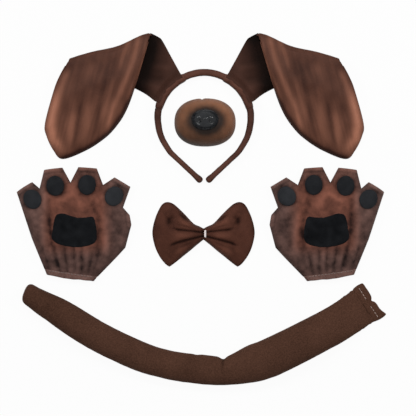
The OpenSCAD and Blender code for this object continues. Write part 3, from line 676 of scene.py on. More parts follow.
def bandTipSkin(t, turn):
    middle, out, thick, wide = bandStation(0)
    away = (middle - bandStation(0.01)[0]).normalized()
    rounding = math.sqrt(max(0, 1 - max(0, (t - 0.66) / 0.34) ** 2.4))
    r = mix(band["tipNeck"], band["tip"], smooth(t / 0.62)) * rounding
    r *= 1 + 0.03 * math.cos(7 * turn) * (1 - smooth(t / 0.5))
    flat = middle + away * (t * band["tipLong"] - band["tipBack"]) + out * r * math.cos(turn)
    tall = max(r, wide / 2 * (1 - smooth(t / 0.5)))
    return flat.x, flat.y, band["z"] + tall * math.sin(turn)


def bandTone(p):  # painted highlight along the top, less of it on the arms beside the nose, painted shade down the sides, and random tone
    beside = bump(p.y - band["middle"].y - 4, 26)
    top = (0.44 - 0.28 * beside) * smooth((p.z - band["z"]) / 6.5)
    return 0.11 + top + 0.12 * rough(p, 18) + 0.1 * rough(p, 5)


bandSleeve = makeTube("bandSleeve", band["around"], band["along"], bandSkin)
paint(bandSleeve, "tone", bandTone)
dress(bandSleeve, "headband", bandSatin, "satin", "headband_sleeve")
leftTip = makeTube("leftBandTip", band["around"], band["tipAlong"], bandTipSkin)
paint(leftTip, "tone", bandTone)
rightTip = mirrorCopy(leftTip, "rightBandTip", band["middle"].x)
dress(leftTip, "headband", bandSatin, "satin", "left_band_tip")
dress(rightTip, "headband", bandSatin, "satin", "right_band_tip")
print("headband made")

# Ears: root up from the band, roll of the fold, hanging flap; the fold runs along x and the flap along y
ear = {
    "corner": Vector((-61.2603, 223.744)), "foldZ": 8.3, "turn": 197.5, "long": 112, "drop": 116,
    "lean": 48, "slope": 6.335, "roll": 5.5, "cloth": 2.6, "sag": 3.4, "sagAt": 50, "sagWide": 24,
    "at": 138.3, "base": 42.4, "baseR": 67.3, "rootEndR": 61.2, "bandTop": 15.7, "flapTop": 8.6,
    "flapBelly": 2.7, "seam": 6.5, "rim": 0.6, "rimUp": 0.2, "rootTop": 4.2, "rootCorner": (-9, 5.2),
    "peak": (3.0, -6.2), "waist": (2.0, 4.5), "foldSteps": 28, "edgeSteps": 8, "baseSteps": 20,
    "flapRings": 30, "rootRings": 22, "foldAround": 96, "foldAlong": 120, "bendReach": 4.8, "fill": 0.5,
}
earLong, earLean, earDrop = ear["long"], ear["lean"], ear["drop"]
earU, earV = polar(1, ear["turn"]), polar(1, ear["turn"] + 90)
flapTip = Vector((earLong + earLean, earDrop))
flapIn, flapOut = 0.04 * earLong, earLong + 0.12 * earLean
flapEdge = [
    (flapOut, 0), (earLong + 0.4 * earLean, 0.11 * earDrop), (earLong + 0.66 * earLean, 0.24 * earDrop),
    (earLong + 1.16 * earLean, 0.56 * earDrop), (earLong + 1.23 * earLean, 0.7 * earDrop),
    (earLong + 1.17 * earLean, 0.88 * earDrop), tuple(flapTip), (0.8 * flapTip.x, 0.985 * earDrop),
    (0.64 * flapTip.x, 0.925 * earDrop), (0.53 * flapTip.x, 0.85 * earDrop),
    (0.41 * flapTip.x, 0.72 * earDrop), (0.28 * flapTip.x, 0.5 * earDrop), (flapIn + 0.8, 0),
]


def alongFold(start, stop, y):
    steps = ear["foldSteps"]
    return [Vector((mix(start, stop, k / steps), y)) for k in range(steps + 1)]


flapFoldEdge = alongFold(flapIn + 1.6, flapOut - 2.2, -2)
flapOutline = flapFoldEdge + smoothOutline(flapEdge, ear["edgeSteps"])
flapMid = Vector((0.55 * flapTip.x, 0.52 * earDrop))
fromTip = len(flapFoldEdge) + flapEdge.index(tuple(flapTip)) * ear["edgeSteps"]
flapInnerEdge = flapOutline[fromTip::4]


def toEar(p):
    away = Vector(p[:2]) - ear["corner"]
    return Vector((away.dot(earU), away.dot(earV)))


def onRoot(x, y, z):
    flat = ear["corner"] + earU * x + earV * y
    return flat.x, flat.y, max(z, 0.05)


def onFlap(x, y, z):  # z is the height over the fold's middle, square to the flap
    c, s = math.cos(math.radians(ear["slope"])), math.sin(math.radians(ear["slope"]))
    return onRoot(x, y * c + z * s, ear["foldZ"] + z * c - y * s)


def foldSag(x):
    return ear["sag"] * bump(x - ear["sagAt"], ear["sagWide"]) - bump(x - 15, 13)


# lengthwise pulls in the satin, from the fold to the tip
flapPulls = [
    (((12, -16), (20, -2), (30, 16), (49, 42), (78, 74), (96, 102)), 0.6, 4.2),
    (((8, 0), (18, 20), (36, 44), (62, 76)), 0.35, 2.6),
    (((24, -18), (33, -2), (44, 12), (58, 34)), 0.5, 3.0),
    (((128, 20), (142, 37), (155, 57), (162, 71), (165, 88), (154, 118)), 1.6, 6.2),
    (((112, 4), (126, 18), (142, 38)), 0.4, 3.4),
    (((76, 76), (90, 92), (104, 108)), 0.3, 4.0),
    (((100, 48), (118, 86), (136, 112)), 0.4, 4.6),
    (((120, 48), (138, 82), (152, 112)), 0.5, 4.6),
    (((112, 44), (130, 84), (144, 110)), -0.22, 3.2),
    (((88, 54), (106, 92), (122, 110)), -0.22, 3.6),
    (((50, 6), (78, 40), (94, 62)), -0.15, 9.0),
    (((82, 2), (100, 30), (109, 48)), 0.18, 4.4),
    (((62, 30), (84, 66), (100, 92)), 0.3, 4.0),
]


def flapSkin(p, f, side):
    swell = math.sqrt(max(0, 1 - f ** mix(24, 5, smooth(p.y / 14))))
    seam = mix(4.2, ear["seam"], smooth(p.y / 14))
    if side > 0:
        high = mix(1.5, ear["flapTop"], smooth(p.y / 40))
    else:
        high = mix(1.3, ear["flapBelly"], smooth(p.y / 20))
    z = seam + side * high * swell
    if side > 0:
        inward = smooth((1 - f) / 0.12) * smooth((p.y + 2) / 10)
        drift = 0.35 * rough((p.x * 0.9 - p.y * 0.6, p.x + p.y, 0), 14)
        z += inward * (strokes(p, flapPulls) + drift)
    return onFlap(p.x, p.y + foldSag(p.x) * (1 - smooth(p.y / 50)), z)


def flapTone(p):  # painted highlight on the pulls' ridges and painted shade in their hollows, a thin painted highlight along the inner edge near the fold, painted shade along the inner and lower edge that deepens toward the tip, paler lower down, and random tone
    q = toEar(p)
    fromInnerEdge = min(edgeDistance(q, a, b) for a, b in zip(flapInnerEdge, flapInnerEdge[1:]))
    lowDown = smooth((q.y - 40) / 50)
    drift = 0.05 * rough((q.x * 0.8 - q.y * 0.5, q.x + q.y, 2), 20)
    drift += 0.04 * rough((q.x * 2.2 - q.y * 1.6, q.x, 4), 9)
    rimHighlight = 0.26 * bump(fromInnerEdge, 0.8) * (1 - smooth((q.y - 35) / 30))
    lower = 0.1 * smooth((q.y - 40) / 45) + rimHighlight
    edgeShade = mix(0.10, 0.34, lowDown) * bump(fromInnerEdge, mix(2.4, 4.4, lowDown))
    return 0.135 + lower + 0.5 * strokes(q, flapPulls) + drift - edgeShade


def paintStreaks(piece):  # where the fine threads of the satin run: across them and along them
    paint(piece, "across", lambda p: toEar(p).dot(polar(1, -31)) / 5)
    paint(piece, "along", lambda p: toEar(p).dot(polar(1, 59)) / 70)


leftFlap = makePad("leftEarFlap", flapOutline, flapMid, ear["flapRings"], flapSkin)
rimPoints = flapOutline[len(flapFoldEdge) + 2:]
rimRoute = [Vector(onFlap(p.x, p.y, ear["seam"] + ear["rimUp"])) for p in rimPoints]
leftRim = makeCord("leftEarRim", rimRoute, ear["rim"])
leftFlap = joinPieces([leftFlap, leftRim], "leftEarFlap")
paint(leftFlap, "tone", flapTone)
paintStreaks(leftFlap)


# root: its cloth climbs the band and ends on top of it
def atBand(r, share):  # share runs over the width of the base, from -0.5 to 0.5
    return toEar(polar(r, ear["at"] + ear["base"] * share) + band["middle"])


rootOuter, rootInner = atBand(ear["baseR"], 0.5), atBand(ear["baseR"], -0.5)
baseArc = [atBand(ear["rootEndR"], 0.5 - k / ear["baseSteps"]) for k in range(ear["baseSteps"] + 1)]
farCorner, nearCorner = Vector((earLong, 2)), Vector(ear["rootCorner"])
outerSide = [farCorner, rootOuter.lerp(farCorner, 0.25) - Vector(ear["waist"]), rootOuter, baseArc[0]]
innerSide = [
    baseArc[-1], rootInner, rootInner.lerp(nearCorner, 0.5), rootInner.lerp(nearCorner, 0.92),
    nearCorner.lerp(Vector(ear["peak"]), 0.2), ear["peak"],
]
rootOutline = alongFold(3.8, earLong, 1.8) + smoothOutline(outerSide, ear["edgeSteps"])
rootOutline += baseArc[:-1] + smoothOutline(innerSide, ear["edgeSteps"])
rootMid = rootInner.lerp(rootOuter, 0.5).lerp(Vector((earLong / 2, 0)), 0.48)
rootPulls = [
    (((-16, 50), (4, 40), (26, 36)), 0.8, 4.0), (((-6, 62), (14, 52), (34, 46)), -0.8, 3.2),
    (((4, 72), (22, 60), (42, 52)), 0.8, 3.4), (((-12, 40), (6, 28)), -0.6, 5.0),
    (((-8, 16), (8, 30)), 0.5, 5.0), (((14, 80), (30, 66), (48, 56)), -0.7, 3.0),
]


def fromLoop(p):
    return (Vector(onRoot(p.x, p.y, 0)[:2]) - band["middle"]).length


def rootSkin(p, f, side):
    swell = math.sqrt(max(0, 1 - f ** 6))
    reach = fromLoop(p)
    climb = smooth((73 - reach) / 10)
    foldUp = 2.8 * (1 - smooth(p.y / 16))
    high = mix(1.4, ear["rootTop"], smooth(p.y / 14))
    top = mix(1.5 + foldUp + high * max(swell, climb), ear["bandTop"], climb) - 0.9 * climb * (1 - swell)
    if side > 0:
        z = top + smooth((1 - f) / 0.1) * (strokes(p, rootPulls) + 0.3 * rough((p.x, p.y, 5), 9))
    else:
        z = mix(1.5 + foldUp - 1.5 * swell, top - 0.7, smooth((71 - reach) / 5))
    return onRoot(p.x, p.y + foldSag(p.x) * (1 - smooth(p.y / 40)), z)


def rootTone(p):  # painted shade in the pocket beside the flap, black nearest it; painted highlight and shade along the root's pulls, and random tone
    q = toEar(p)
    inPocket = (q - Vector((flapIn, 0))).dot(Vector((-0.82, 0.572)))
    pocketShade = 1 - smooth((inPocket - 6) / 30)
    return (1 - pocketShade) * (0.43 + 0.15 * strokes(q, rootPulls) + 0.12 * rough((q.x, q.y, 9), 12))


leftRoot = makePad("leftEarRoot", rootOutline, rootMid, ear["rootRings"], rootSkin)
paint(leftRoot, "tone", rootTone)


# fold: a half ring of cloth round the hinge line, drawn in at both ends, its edge under the flap
def foldSkin(v, turn):
    outside = turn <= math.pi
    way = turn / math.pi if outside else 2 - turn / math.pi
    x = mix(0.8 + 7 * (2 * way - 1) ** 2, earLong - 1.2 + 5.2 * way, v)
    end = max(smooth((5 - x) / 4), 0.35 * smooth((x - earLong + 1) / 4))
    over = smooth((way - 0.8) / 0.2)
    under = smooth((0.06 - way) / 0.06)
    angle = math.radians(-90 - 180 * min(1, max(0, (way - 0.05) / 0.9)))
    half = ear["cloth"] / 2 * math.sqrt(max(0, 1 - abs(2 * v - 1) ** 60))
    r = (ear["roll"] - ear["cloth"] / 2) * (1 - 0.4 * end) + (half if outside else -half)
    if outside:
        r += 0.2 * rough((x, 30 * way, 0), 8)
    y, z = r * math.cos(angle), r * math.sin(angle) + 1.2 * end
    y += 3.5 * over + 4.5 * under + foldSag(x) + 0.6 * end
    return onRoot(x, y, ear["foldZ"] + z - 1.1 * over)


leftFold = makeTube("leftEarFold", ear["foldAround"], ear["foldAlong"], foldSkin)
# painted highlight and shade along the flap's pulls, as on the flap
paint(leftFold, "tone", lambda p: 0.135 + 0.5 * strokes(toEar(p), flapPulls))
paintStreaks(leftFold)
print("left ear shaped")

wrap = {
    "thick": 10.8, "wide": 15, "square": 3.2, "spareLow": 6.4, "spareHigh": 2.2, "gathers": 4, "deep": 0.5,
    "around": 40, "along": 110,
}


def wrapSkin(t, turn):
    angle = ear["at"] + mix(ear["base"] / 2 + wrap["spareLow"], -ear["base"] / 2 - wrap["spareHigh"], t)
    c, s = squareRound(turn, wrap["square"])
    endIn = 0.9 * (1 - math.sqrt(max(0, 1 - abs(2 * t - 1) ** 10)))
    slant = t * wrap["gathers"] * 2 * math.pi + 3.4 * c + 2 * rough((t * 30, turn * 3, 2), 7)
    pleat = wrap["deep"] * (0.35 * math.sin(slant) + 0.6 * rough((t * 40, turn * 5, 1), 8))
    out = polar(1, angle)
    flat = band["middle"] + out * (band["r"] + c * (wrap["thick"] / 2 - endIn + pleat * 0.5))
    return flat.x, flat.y, band["z"] + s * (wrap["wide"] / 2 - endIn) + pleat * max(0, s)


leftWrap = makeTube("leftEarWrap", wrap["around"], wrap["along"], wrapSkin)
paint(leftWrap, "tone", bandTone)
earTwins = [
    (leftWrap, "rightEarWrap", "headband", bandSatin, "satin", ("ear_wrap",)),
    (leftRoot, "rightEarRoot", "headband", lining, "lining", ("root_front", "root_back", "root_foam")),
    (leftFlap, "rightEarFlap", "ear", satin, "satin", ("flap_front", "flap_back", "flap_foam")),
    (leftFold, "rightEarFold", None, satin, "satin", ("ear_fold",)),
]
for leftPiece, twinName, body, material, slot, nodes in earTwins:
    twin = mirrorCopy(leftPiece, twinName, band["middle"].x)
    for side, piece in (("left", leftPiece), ("right", twin)):
        rides = side + "_ear" if body == "ear" else body
        dress(piece, rides, material, slot, *[side + "_" + part for part in nodes])
        if body is None:
            at = Vector(joints[side + "_ear_flop"]["pos_m"])
            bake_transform(piece)
print("ears made")


# Nose: a moulded cup with a glossy tip
nose = {
    "middle": Vector((6, 112.256)), "wide": 80, "high": 63, "deep": 34, "wall": 2, "square": 2.3,
    "flat": 2.2, "shape": 0.62, "edgePoints": 120, "rings": 44, "nick": 1.7, "nickAt": 97, "nickHalf": 6,
    "tipUp": 2, "tipWide": 36.6, "tipHigh": 27, "tipDeep": 10, "tipSquare": 2.15, "tipTaper": 0.04,
    "tipSeat": 0.3, "tipPoints": 96, "tipRings": 40, "nostrilX": 0.42, "nostrilLow": 0.08,
    "nostrilDeep": 3.8, "nostrilHalf": 3.2, "slit": (13.5, -5), "haloMiddle": Vector((1.6, 1.4)),
    "haloWide": 18.6, "haloHigh": 14.4, "haloSoft": 0.72, "haloDark": 0.94, "gloss": 0.4,
    "wet": ((-11.4, 0.4), (-1.8, -0.6), (8.7, -1.0)),
}


def ovalEdge(degrees, wide, high, n):
    c, s = squareRound(math.radians(degrees), n)
    return Vector((wide / 2 * c, high / 2 * s))


def muzzleHeight(f, deep):
    return deep * max(0.0, 1 - f ** nose["flat"]) ** nose["shape"]


def muzzleOver(p):
    n = nose["square"]
    f = ((abs(p.x) / (nose["wide"] / 2)) ** n + (abs(p.y) / (nose["high"] / 2)) ** n) ** (1 / n)
    return muzzleHeight(f, nose["deep"])


def muzzleEdge(k):
    return ovalEdge(360 * k / nose["edgePoints"], nose["wide"], nose["high"], nose["square"])


def muzzleSkin(p, f, side):
    angle = math.degrees(math.atan2(p.y, p.x))
    cut = nose["nick"] * bump(angle - nose["nickAt"], nose["nickHalf"] / 2) * f ** 10
    if side > 0:
        q = p * (1 - cut / max(p.length, 1))
        z = muzzleHeight(f, nose["deep"]) + 0.25 * rough((p.x, p.y, 4), 11) * (1 - f ** 4)
    else:
        q = p * (1 - (cut + nose["wall"] * smooth((1 - f) / 0.02)) / max(p.length, 3))
        z = muzzleHeight(f, nose["deep"] - nose["wall"])
    return q.x + nose["middle"].x, q.y + nose["middle"].y, z


def muzzleTone(p):  # painted highlight up and to the right, painted shade along the edge, and random tone
    q = Vector(p[:2]) - nose["middle"]
    edge = Vector((q.x / (nose["wide"] / 2), q.y / (nose["high"] / 2))).length
    light = 0.24 * q.y / 31 + 0.13 * q.x / 40
    return 0.49 + light - 0.16 * smooth((edge - 0.86) / 0.14) + 0.08 * rough((q.x, q.y, 7), 9)


def airbrush(p):
    q = Vector(p[:2]) - nose["middle"] - nose["haloMiddle"]
    e = Vector((q.x / nose["haloWide"], q.y / nose["haloHigh"])).length
    chin = 0.25 * smooth((-q.y - 8) / 18) * smooth((26 - abs(q.x)) / 14)
    ragged = 0.05 * rough((q.x, q.y, 1), 5)
    ring = nose["haloDark"] * (1 - smooth((e + ragged - 1) / nose["haloSoft"]))
    return max(0.0, min(nose["haloDark"], ring + chin))


muzzleOutline = [muzzleEdge(k) for k in range(nose["edgePoints"])]
muzzle = makePad("muzzle", muzzleOutline, Vector((0, 0)), nose["rings"], muzzleSkin)
paint(muzzle, "tone", muzzleTone)
paint(muzzle, "airbrush", airbrush)
dress(muzzle, "nose", latex, "latex", "muzzle")

tipMid = Vector((0, nose["tipUp"]))
nostril = Vector((nose["nostrilX"] * nose["tipWide"] / 2, -nose["nostrilLow"] * nose["tipHigh"]))


def tipEdge(k):
    edge = ovalEdge(360 * k / nose["tipPoints"], 2, 2, nose["tipSquare"])
    narrow = 1 - nose["tipTaper"] * (1 - edge.y)
    return Vector((nose["tipWide"] / 2 * edge.x * narrow, nose["tipHigh"] / 2 * edge.y)) + tipMid


def spot(q, middle, width):  # a round soft hill
    return bump((q - Vector(middle)).length, width)


def tipSkin(p, f, side):
    q = p - tipMid
    z = muzzleOver(p) + nose["tipSeat"]
    if side > 0:
        half = Vector((abs(q.x), q.y))
        groove = bump(q.x, 1.3) * smooth((2 - q.y) / 6)
        z += nose["tipDeep"] * math.sqrt(max(0, 1 - f * f))
        z -= nose["nostrilDeep"] * spot(half, nostril, nose["nostrilHalf"])
        dents = 1.4 * spot(half, nose["slit"], 2.6) + 1.0 * groove - 1.2 * spot(q, (0, 1), 4.5)
        z -= (1 - f ** 6) * dents
        z += sum(0.8 * spot(q, drop, 2.2) for drop in nose["wet"])
        z += (1 - f ** 4) * (1.0 * spot(q, (0, 9), 6) + 0.25 * rough((p.x, p.y, 0), 2.4))
    return p.x + nose["middle"].x, p.y + nose["middle"].y, z


def tipGloss(p):  # wet in the middle, dull where it runs into the airbrushed ring
    q = Vector(p[:2]) - nose["middle"] - tipMid
    outward = Vector((q.x / nose["tipWide"], q.y / nose["tipHigh"])).length
    return nose["gloss"] * (1 - smooth((outward - 0.3) / 0.14))


tipOutline = [tipEdge(k) for k in range(nose["tipPoints"])]
noseTip = makePad("noseTip", tipOutline, tipMid, nose["tipRings"], tipSkin)
paint(noseTip, "gloss", tipGloss)
dress(noseTip, "nose", noseBlack, "nose_black", "nose_tip")
print("nose made")


# Paw gloves: two plush panels sewn at the sides, open at the fingers, thumb and wrist, with felt pads
paw = {
    "middle": Vector((-165, -28)), "midZ": 3, "palmDeep": 17, "wristDeep": 12, "plush": 1.8, "edge": 1.2,
    "round": 20, "backRound": 8, "wristEase": 26, "fingerReach": 84, "fingerWide": 24, "webReach": 66,
    "thumbReach": 75, "thumbWide": 13, "thumbAt": 10, "wristWide": 70, "wristReach": 63, "hemHigh": 7,
    "wristAt": 266, "wristTurn": 262, "turns": (123, 97, 86, 59), "fingersAt": (139, 108.5, 77.5, 44.5),
    "endMore": (1, 0, -1, 5), "websAt": (129.5, 94, 57), "webMore": (4, -4, 4), "crotch": (70.5, 24.5),
    "heel": ((66.5, 329), (71, 341)), "sideLow": (55.5, 192), "step": 1.8, "rings": 46, "backRings": 24,
    "toeBack": 21, "toeWide": 23, "toeLong": 26, "toePoints": 64, "toeRings": 12,
    "toeNudge": ((0, 1.8), (0.9, -1.4), (1.6, -1.5), (0.5, -0.4)), "toeTones": (0.5, 0.34, 0.34, 0.66),
    "padWide": 57, "padHigh": 42, "padThick": 2.2, "padSeat": 0.35, "padRings": 18, "padTone": 0.12,
    "palmCut": (0.172, 0.158, 0.0172), "backCut": (0.166, 0.150, 0.0150), "fill": 0.8,
}
hemUp = paw["hemHigh"]


def fingerEnd(i):
    return polar(paw["fingerReach"] + paw["endMore"][i], paw["fingersAt"][i])


def fingerCorner(i, side):
    return fingerEnd(i) + polar(side * paw["fingerWide"] / 2, paw["turns"][i] - 90)


def web(i):
    return polar(paw["webReach"] + paw["webMore"][i], paw["websAt"][i])


def wristCorner(side, up):
    return (polar(paw["wristReach"], paw["wristAt"]) - polar(up, paw["wristTurn"])
            + polar(side * paw["wristWide"] / 2, paw["wristTurn"] + 90))


def thumbCorner(side):
    across = polar(side * paw["thumbWide"] / 2, paw["thumbAt"] + 90)
    return polar(paw["thumbReach"], paw["thumbAt"]) + across


heelLow, heelHigh, crotch, sideLow = (polar(*p) for p in (*paw["heel"], paw["crotch"], paw["sideLow"]))
pawCorners = [  # corner, and whether the edge after it is sewn shut
    (wristCorner(1, hemUp), True), (heelLow, True), (heelHigh, True), (thumbCorner(-1), False),
    (thumbCorner(1), True), (crotch, True),
]
for i in (3, 2, 1, 0):
    pawCorners += [(fingerCorner(i, 1), False), (fingerCorner(i, -1), True)]
    pawCorners += [(web(i - 1) if i else sideLow, True)]
pawCorners += [(wristCorner(-1, hemUp), False)]
pawSides = [(a, b, sewn) for (a, sewn), (b, _) in zip(pawCorners, pawCorners[1:] + pawCorners[:1])]
pawOutline = []
for a, b, sewn in pawSides:
    count = max(2, round((b - a).length / paw["step"]))
    pawOutline += [a.lerp(b, k / count) for k in range(count)]
sewnSides = [(a, b) for a, b, sewn in pawSides if sewn]
openSides = [(a, b) for a, b, sewn in pawSides[:-1] if not sewn]


def sideNear(p, sides):
    return min(edgeDistance(p, a, b) for a, b in sides)


def puff(d, r):
    t = 1 - min(d / r, 1)
    return math.sqrt(max(0, 1 - t * t))


def fromHem(p):
    return (wristCorner(0, hemUp) - p).dot(polar(1, paw["wristTurn"]))


# creases and ridges of the palm, about the middle of the left one; pawTone paints shade in the creases and
# highlight on the ridges
pawCreases = [
    (((-31, 46), (-30.5, 20), (-30.5, 7), (-27, -18), (-22, -37), (-17, -58)), -2.2, 2.6),
    (((29, 48), (24.5, 31), (31.5, 19), (33, 1), (31.5, -18), (28, -36)), -1.9, 2.8),
    (((-4, 66), (-13, 50)), -1.5, 2.0), (((-3, 62), (8, 73)), -1.3, 1.8),
    (((-36, 58), (-25, 44)), -1.3, 2.2), (((39, 53), (28, 64)), -1.3, 2.2),
    (((57, 30), (54, 8), (54, -18)), -1.4, 6.0), (((1, -16), (1.5, -60)), -1.5, 1.5),
    (((-12, -18), (-7, -60)), -1.3, 1.6), (((12, -20), (10, -62)), -1.2, 1.5),
    (((27, -22), (18, -62)), -1.3, 1.7), (((-43, -16), (-30, -54)), -1.0, 1.8),
    (((-43, 6), (-42, -18)), -0.9, 4.0), (((36, -20), (25, -60)), -1.0, 1.6),
    (((-20, 30), (-8, 24), (14, 26), (24, 22)), -0.8, 3.4),
]
pawRidges = [
    (((-39, 58), (-37.6, 33), (-39, 14), (-39, -5), (-35, -32)), 1.2, 4.0),
    (((-28, 34), (-11, 40), (-1, 49), (-3, 64)), 1.5, 4.0),
    (((-1, 53), (6, 40), (9, 30), (20, 26)), 1.4, 4.4),
    (((34, 38), (41, 11), (43, -5), (42, -25), (47, -42)), 1.4, 4.2), (((70, 18), (67, -12)), 0.7, 5.0),
    (((-20, -26), (-13, -60)), 0.7, 2.2), (((6, -20), (6, -60)), 0.7, 2.2),
    (((20, -20), (14, -60)), 0.7, 2.4), (((-5, -20), (-3, -60)), 0.6, 2.0),
    (((-57, 46), (-49, 4)), 0.5, 5.0),
]


def palmRise(p):
    top = mix(paw["wristDeep"], paw["palmDeep"], smooth(fromHem(p) / paw["wristEase"])) - paw["midZ"]
    return mix(paw["edge"], top, puff(sideNear(p, sewnSides), paw["round"]))


def backDrop(p):
    return mix(paw["edge"], paw["midZ"], puff(sideNear(p, sewnSides), paw["backRound"]))


def toeMiddle(i):
    return fingerEnd(i) - polar(paw["toeBack"], paw["turns"][i]) + Vector(paw["toeNudge"][i])


def fromToe(p, i):  # 1 on the edge of a toe's pad
    q = p - toeMiddle(i)
    along, across = q.dot(polar(1, paw["turns"][i])), q.dot(polar(1, paw["turns"][i] + 90))
    return Vector((along / (paw["toeLong"] / 2), across / (paw["toeWide"] / 2))).length


def underPad(p):  # the palm lies smooth where a pad is
    inPalm = max(abs(p.x) / (paw["padWide"] / 2), abs(p.y) / (paw["padHigh"] / 2))
    return min(smooth((inPalm - 0.9) / 0.2), *[smooth((fromToe(p, i) - 0.9) / 0.3) for i in range(4)])


def palmFace(p):
    free = smooth(sideNear(p, sewnSides) / 9) * underPad(p)
    hem = 0.7 * bump(sideNear(p, openSides) - 2.2, 2.0)
    lumps = 0.3 * rough((p.x, p.y, 0), 7) + 0.18 * rough((p.x, p.y, 3), 2.6)
    folds = strokes(p, pawCreases) + strokes(p, pawRidges)
    return palmRise(p) + free * folds + hem + lumps * smooth(palmRise(p) / 5)


def onPaw(p, z):
    return p.x + paw["middle"].x, p.y + paw["middle"].y, z


def makeDisc(name, outline, rings, place):  # an open sheet from the middle out to the outline
    count = len(outline)
    piece = addGrid(name, count, rings)

    def spread(u, v):
        edge = outline[round((u + 1) / 2 * count) % count]
        return place(edge * math.sin((v + 1) * math.pi / 4))

    shapeGrid(piece, spread)
    weld(piece)
    return piece


def faceWay(piece, up):
    facing = sum(poly.normal.z * poly.area for poly in piece.data.polygons)
    if (facing > 0) != up:
        flipFaces(piece)


def pawTone(p):  # pale at the open ends and darker just inside them; painted shade in the creases, round the toe pads and along the sewn edges; painted highlight on the ridges; a painted sheen on the upper palm, a little darker toward the wrist; random tone
    q = Vector(p[:2]) - paw["middle"]
    mouth = sideNear(q, openSides)
    hem = 0.2 * bump(mouth - 1.0, 2.6) - 0.13 * bump(mouth - 5.4, 1.3)
    creases = 0.09 * strokes(q, pawCreases) + 0.16 * strokes(q, pawRidges)
    pads = -0.22 * (1 - smooth((min(fromToe(q, i) for i in range(4)) - 0.95) / 0.4))
    # painted sheen on the upper palm, a little darker toward the wrist
    wrist = 0.05 * smooth((q.y - 12) / 14) - 0.03 * smooth((-q.y - 20) / 20)
    mottled = 0.09 * rough((q.x, q.y, 8), 9) + 0.09 * rough((q.x, q.y, 2), 4.5)
    return 0.29 + creases + hem + pads + wrist - 0.08 * bump(sideNear(q, sewnSides), 1.8) + mottled


def pawWarm(p):
    q = Vector(p[:2]) - paw["middle"]
    centre = 1 - smooth((abs(q.x - 4) - 26) / 26)
    height = smooth((q.y + 39) / 26) * (1 - 0.6 * smooth((q.y - 50) / 22))
    return max(0.0, min(1.0, centre * height + 0.12))


palmPanel = makeDisc("leftPalm", pawOutline, paw["rings"], lambda p: onPaw(p, paw["midZ"] + palmFace(p)))
faceWay(palmPanel, True)
backPanel = makeDisc(
    "leftPawBack", pawOutline, paw["backRings"], lambda p: onPaw(p, paw["midZ"] - backDrop(p)))
faceWay(backPanel, False)
for panel in (palmPanel, backPanel):
    paint(panel, "tone", pawTone)
    paint(panel, "warm", pawWarm)
    modify(panel, "SOLIDIFY", thickness=paw["plush"] * mm, offset=-1)
print("glove panels shaped")

padShape = [
    (0.1, 0.38), (-0.05, 0.44), (-0.22, 0.51), (-0.36, 0.48), (-0.42, 0.33), (-0.46, 0.03),
    (-0.48, -0.25), (-0.32, -0.43), (0, -0.52), (0.27, -0.5), (0.51, -0.36), (0.54, -0.03), (0.5, 0.27),
    (0.44, 0.41), (0.28, 0.39), (0.1, 0.38),
]


def padSkin(p, f, side):
    z = paw["midZ"] + palmRise(p) + paw["padSeat"]
    if side > 0:
        fuzz = 0.2 * rough((p.x, p.y, 6), 3) * (1 - f ** 8)
        z += paw["padThick"] * (1 - 0.35 * f * f) * max(0, 1 - f ** 9) ** 0.5 + fuzz
    return onPaw(p, z)


def frayed(outline, mid):
    return [mid + (p - mid) * (1 + 0.012 * rough((p.x, p.y, 4), 1.6)) for p in outline]


def toePoint(i, k):
    a = 2 * math.pi * k / paw["toePoints"]
    along = polar(paw["toeLong"] / 2 * math.cos(a), paw["turns"][i])
    return toeMiddle(i) + along + polar(paw["toeWide"] / 2 * math.sin(a), paw["turns"][i] + 90)


padMid = Vector((0, 0))
padLine = smoothOutline([(x * paw["padWide"], y * paw["padHigh"]) for x, y in padShape], 8)
pads = [makePad("leftPalmPad", frayed(padLine, padMid), padMid, paw["padRings"], padSkin)]
for i in range(4):
    toeLine = frayed([toePoint(i, k) for k in range(paw["toePoints"])], toeMiddle(i))
    pads.append(makePad("leftToePad" + str(i + 1), toeLine, toeMiddle(i), paw["toeRings"], padSkin))

hem = {
    "wall": 3.0, "square": 4, "gathers": 34, "deep": 0.3, "taper": 0.885, "back": 0.6,
    "rings": 26, "around": 220,
}
hemMiddle = wristCorner(0, hemUp)
hemOut, hemAcross = polar(1, paw["wristTurn"]), polar(1, paw["wristTurn"] + 90)


def stadiumPoint(t, wide, deep):  # once round a flat oval with straight sides
    straight, bend = wide - deep, math.pi * deep / 2
    d = t * 2 * (straight + bend)
    half = d >= straight + bend
    d -= (straight + bend) * half
    if d < straight:
        x, z = straight / 2 - d, deep / 2
    else:
        a = (d - straight) / bend * math.pi
        x, z = -straight / 2 - deep / 2 * math.sin(a), deep / 2 * math.cos(a)
    return (-x, -z) if half else (x, z)


def hemRing(t, turn):
    c, s = squareRound(turn, hem["square"])
    inset = hem["wall"] / 2 * (1 - c)
    x, z = stadiumPoint(t, paw["wristWide"] - 2 * inset, paw["wristDeep"] - 2 * inset)
    x *= mix(1, hem["taper"], (s + 1) / 2)
    wave = 2 * math.pi * hem["gathers"] * t + 2 * rough((t * 20, 0, 0), 1)
    pucker = hem["deep"] * math.sin(wave) * max(0, c)
    droop = (0.5 * rough((x, z, 1), 9) + 1.5 * bump(x + 3, 17)) * smooth(s)
    flat = hemMiddle + hemAcross * x + hemOut * (hemUp * (s + 1) / 2 - hem["back"] + droop)
    rise = pucker * (1 if z > 0 else 0.2)
    return onPaw(flat, max(0.05, paw["wristDeep"] / 2 + z + rise))


wristHem = makeTube("leftWristHem", hem["rings"], hem["around"], hemRing)
paint(wristHem, "tone", lambda p: 0.46 + 0.12 * rough(p, 3))
paint(wristHem, "warm", lambda p: 0.12)


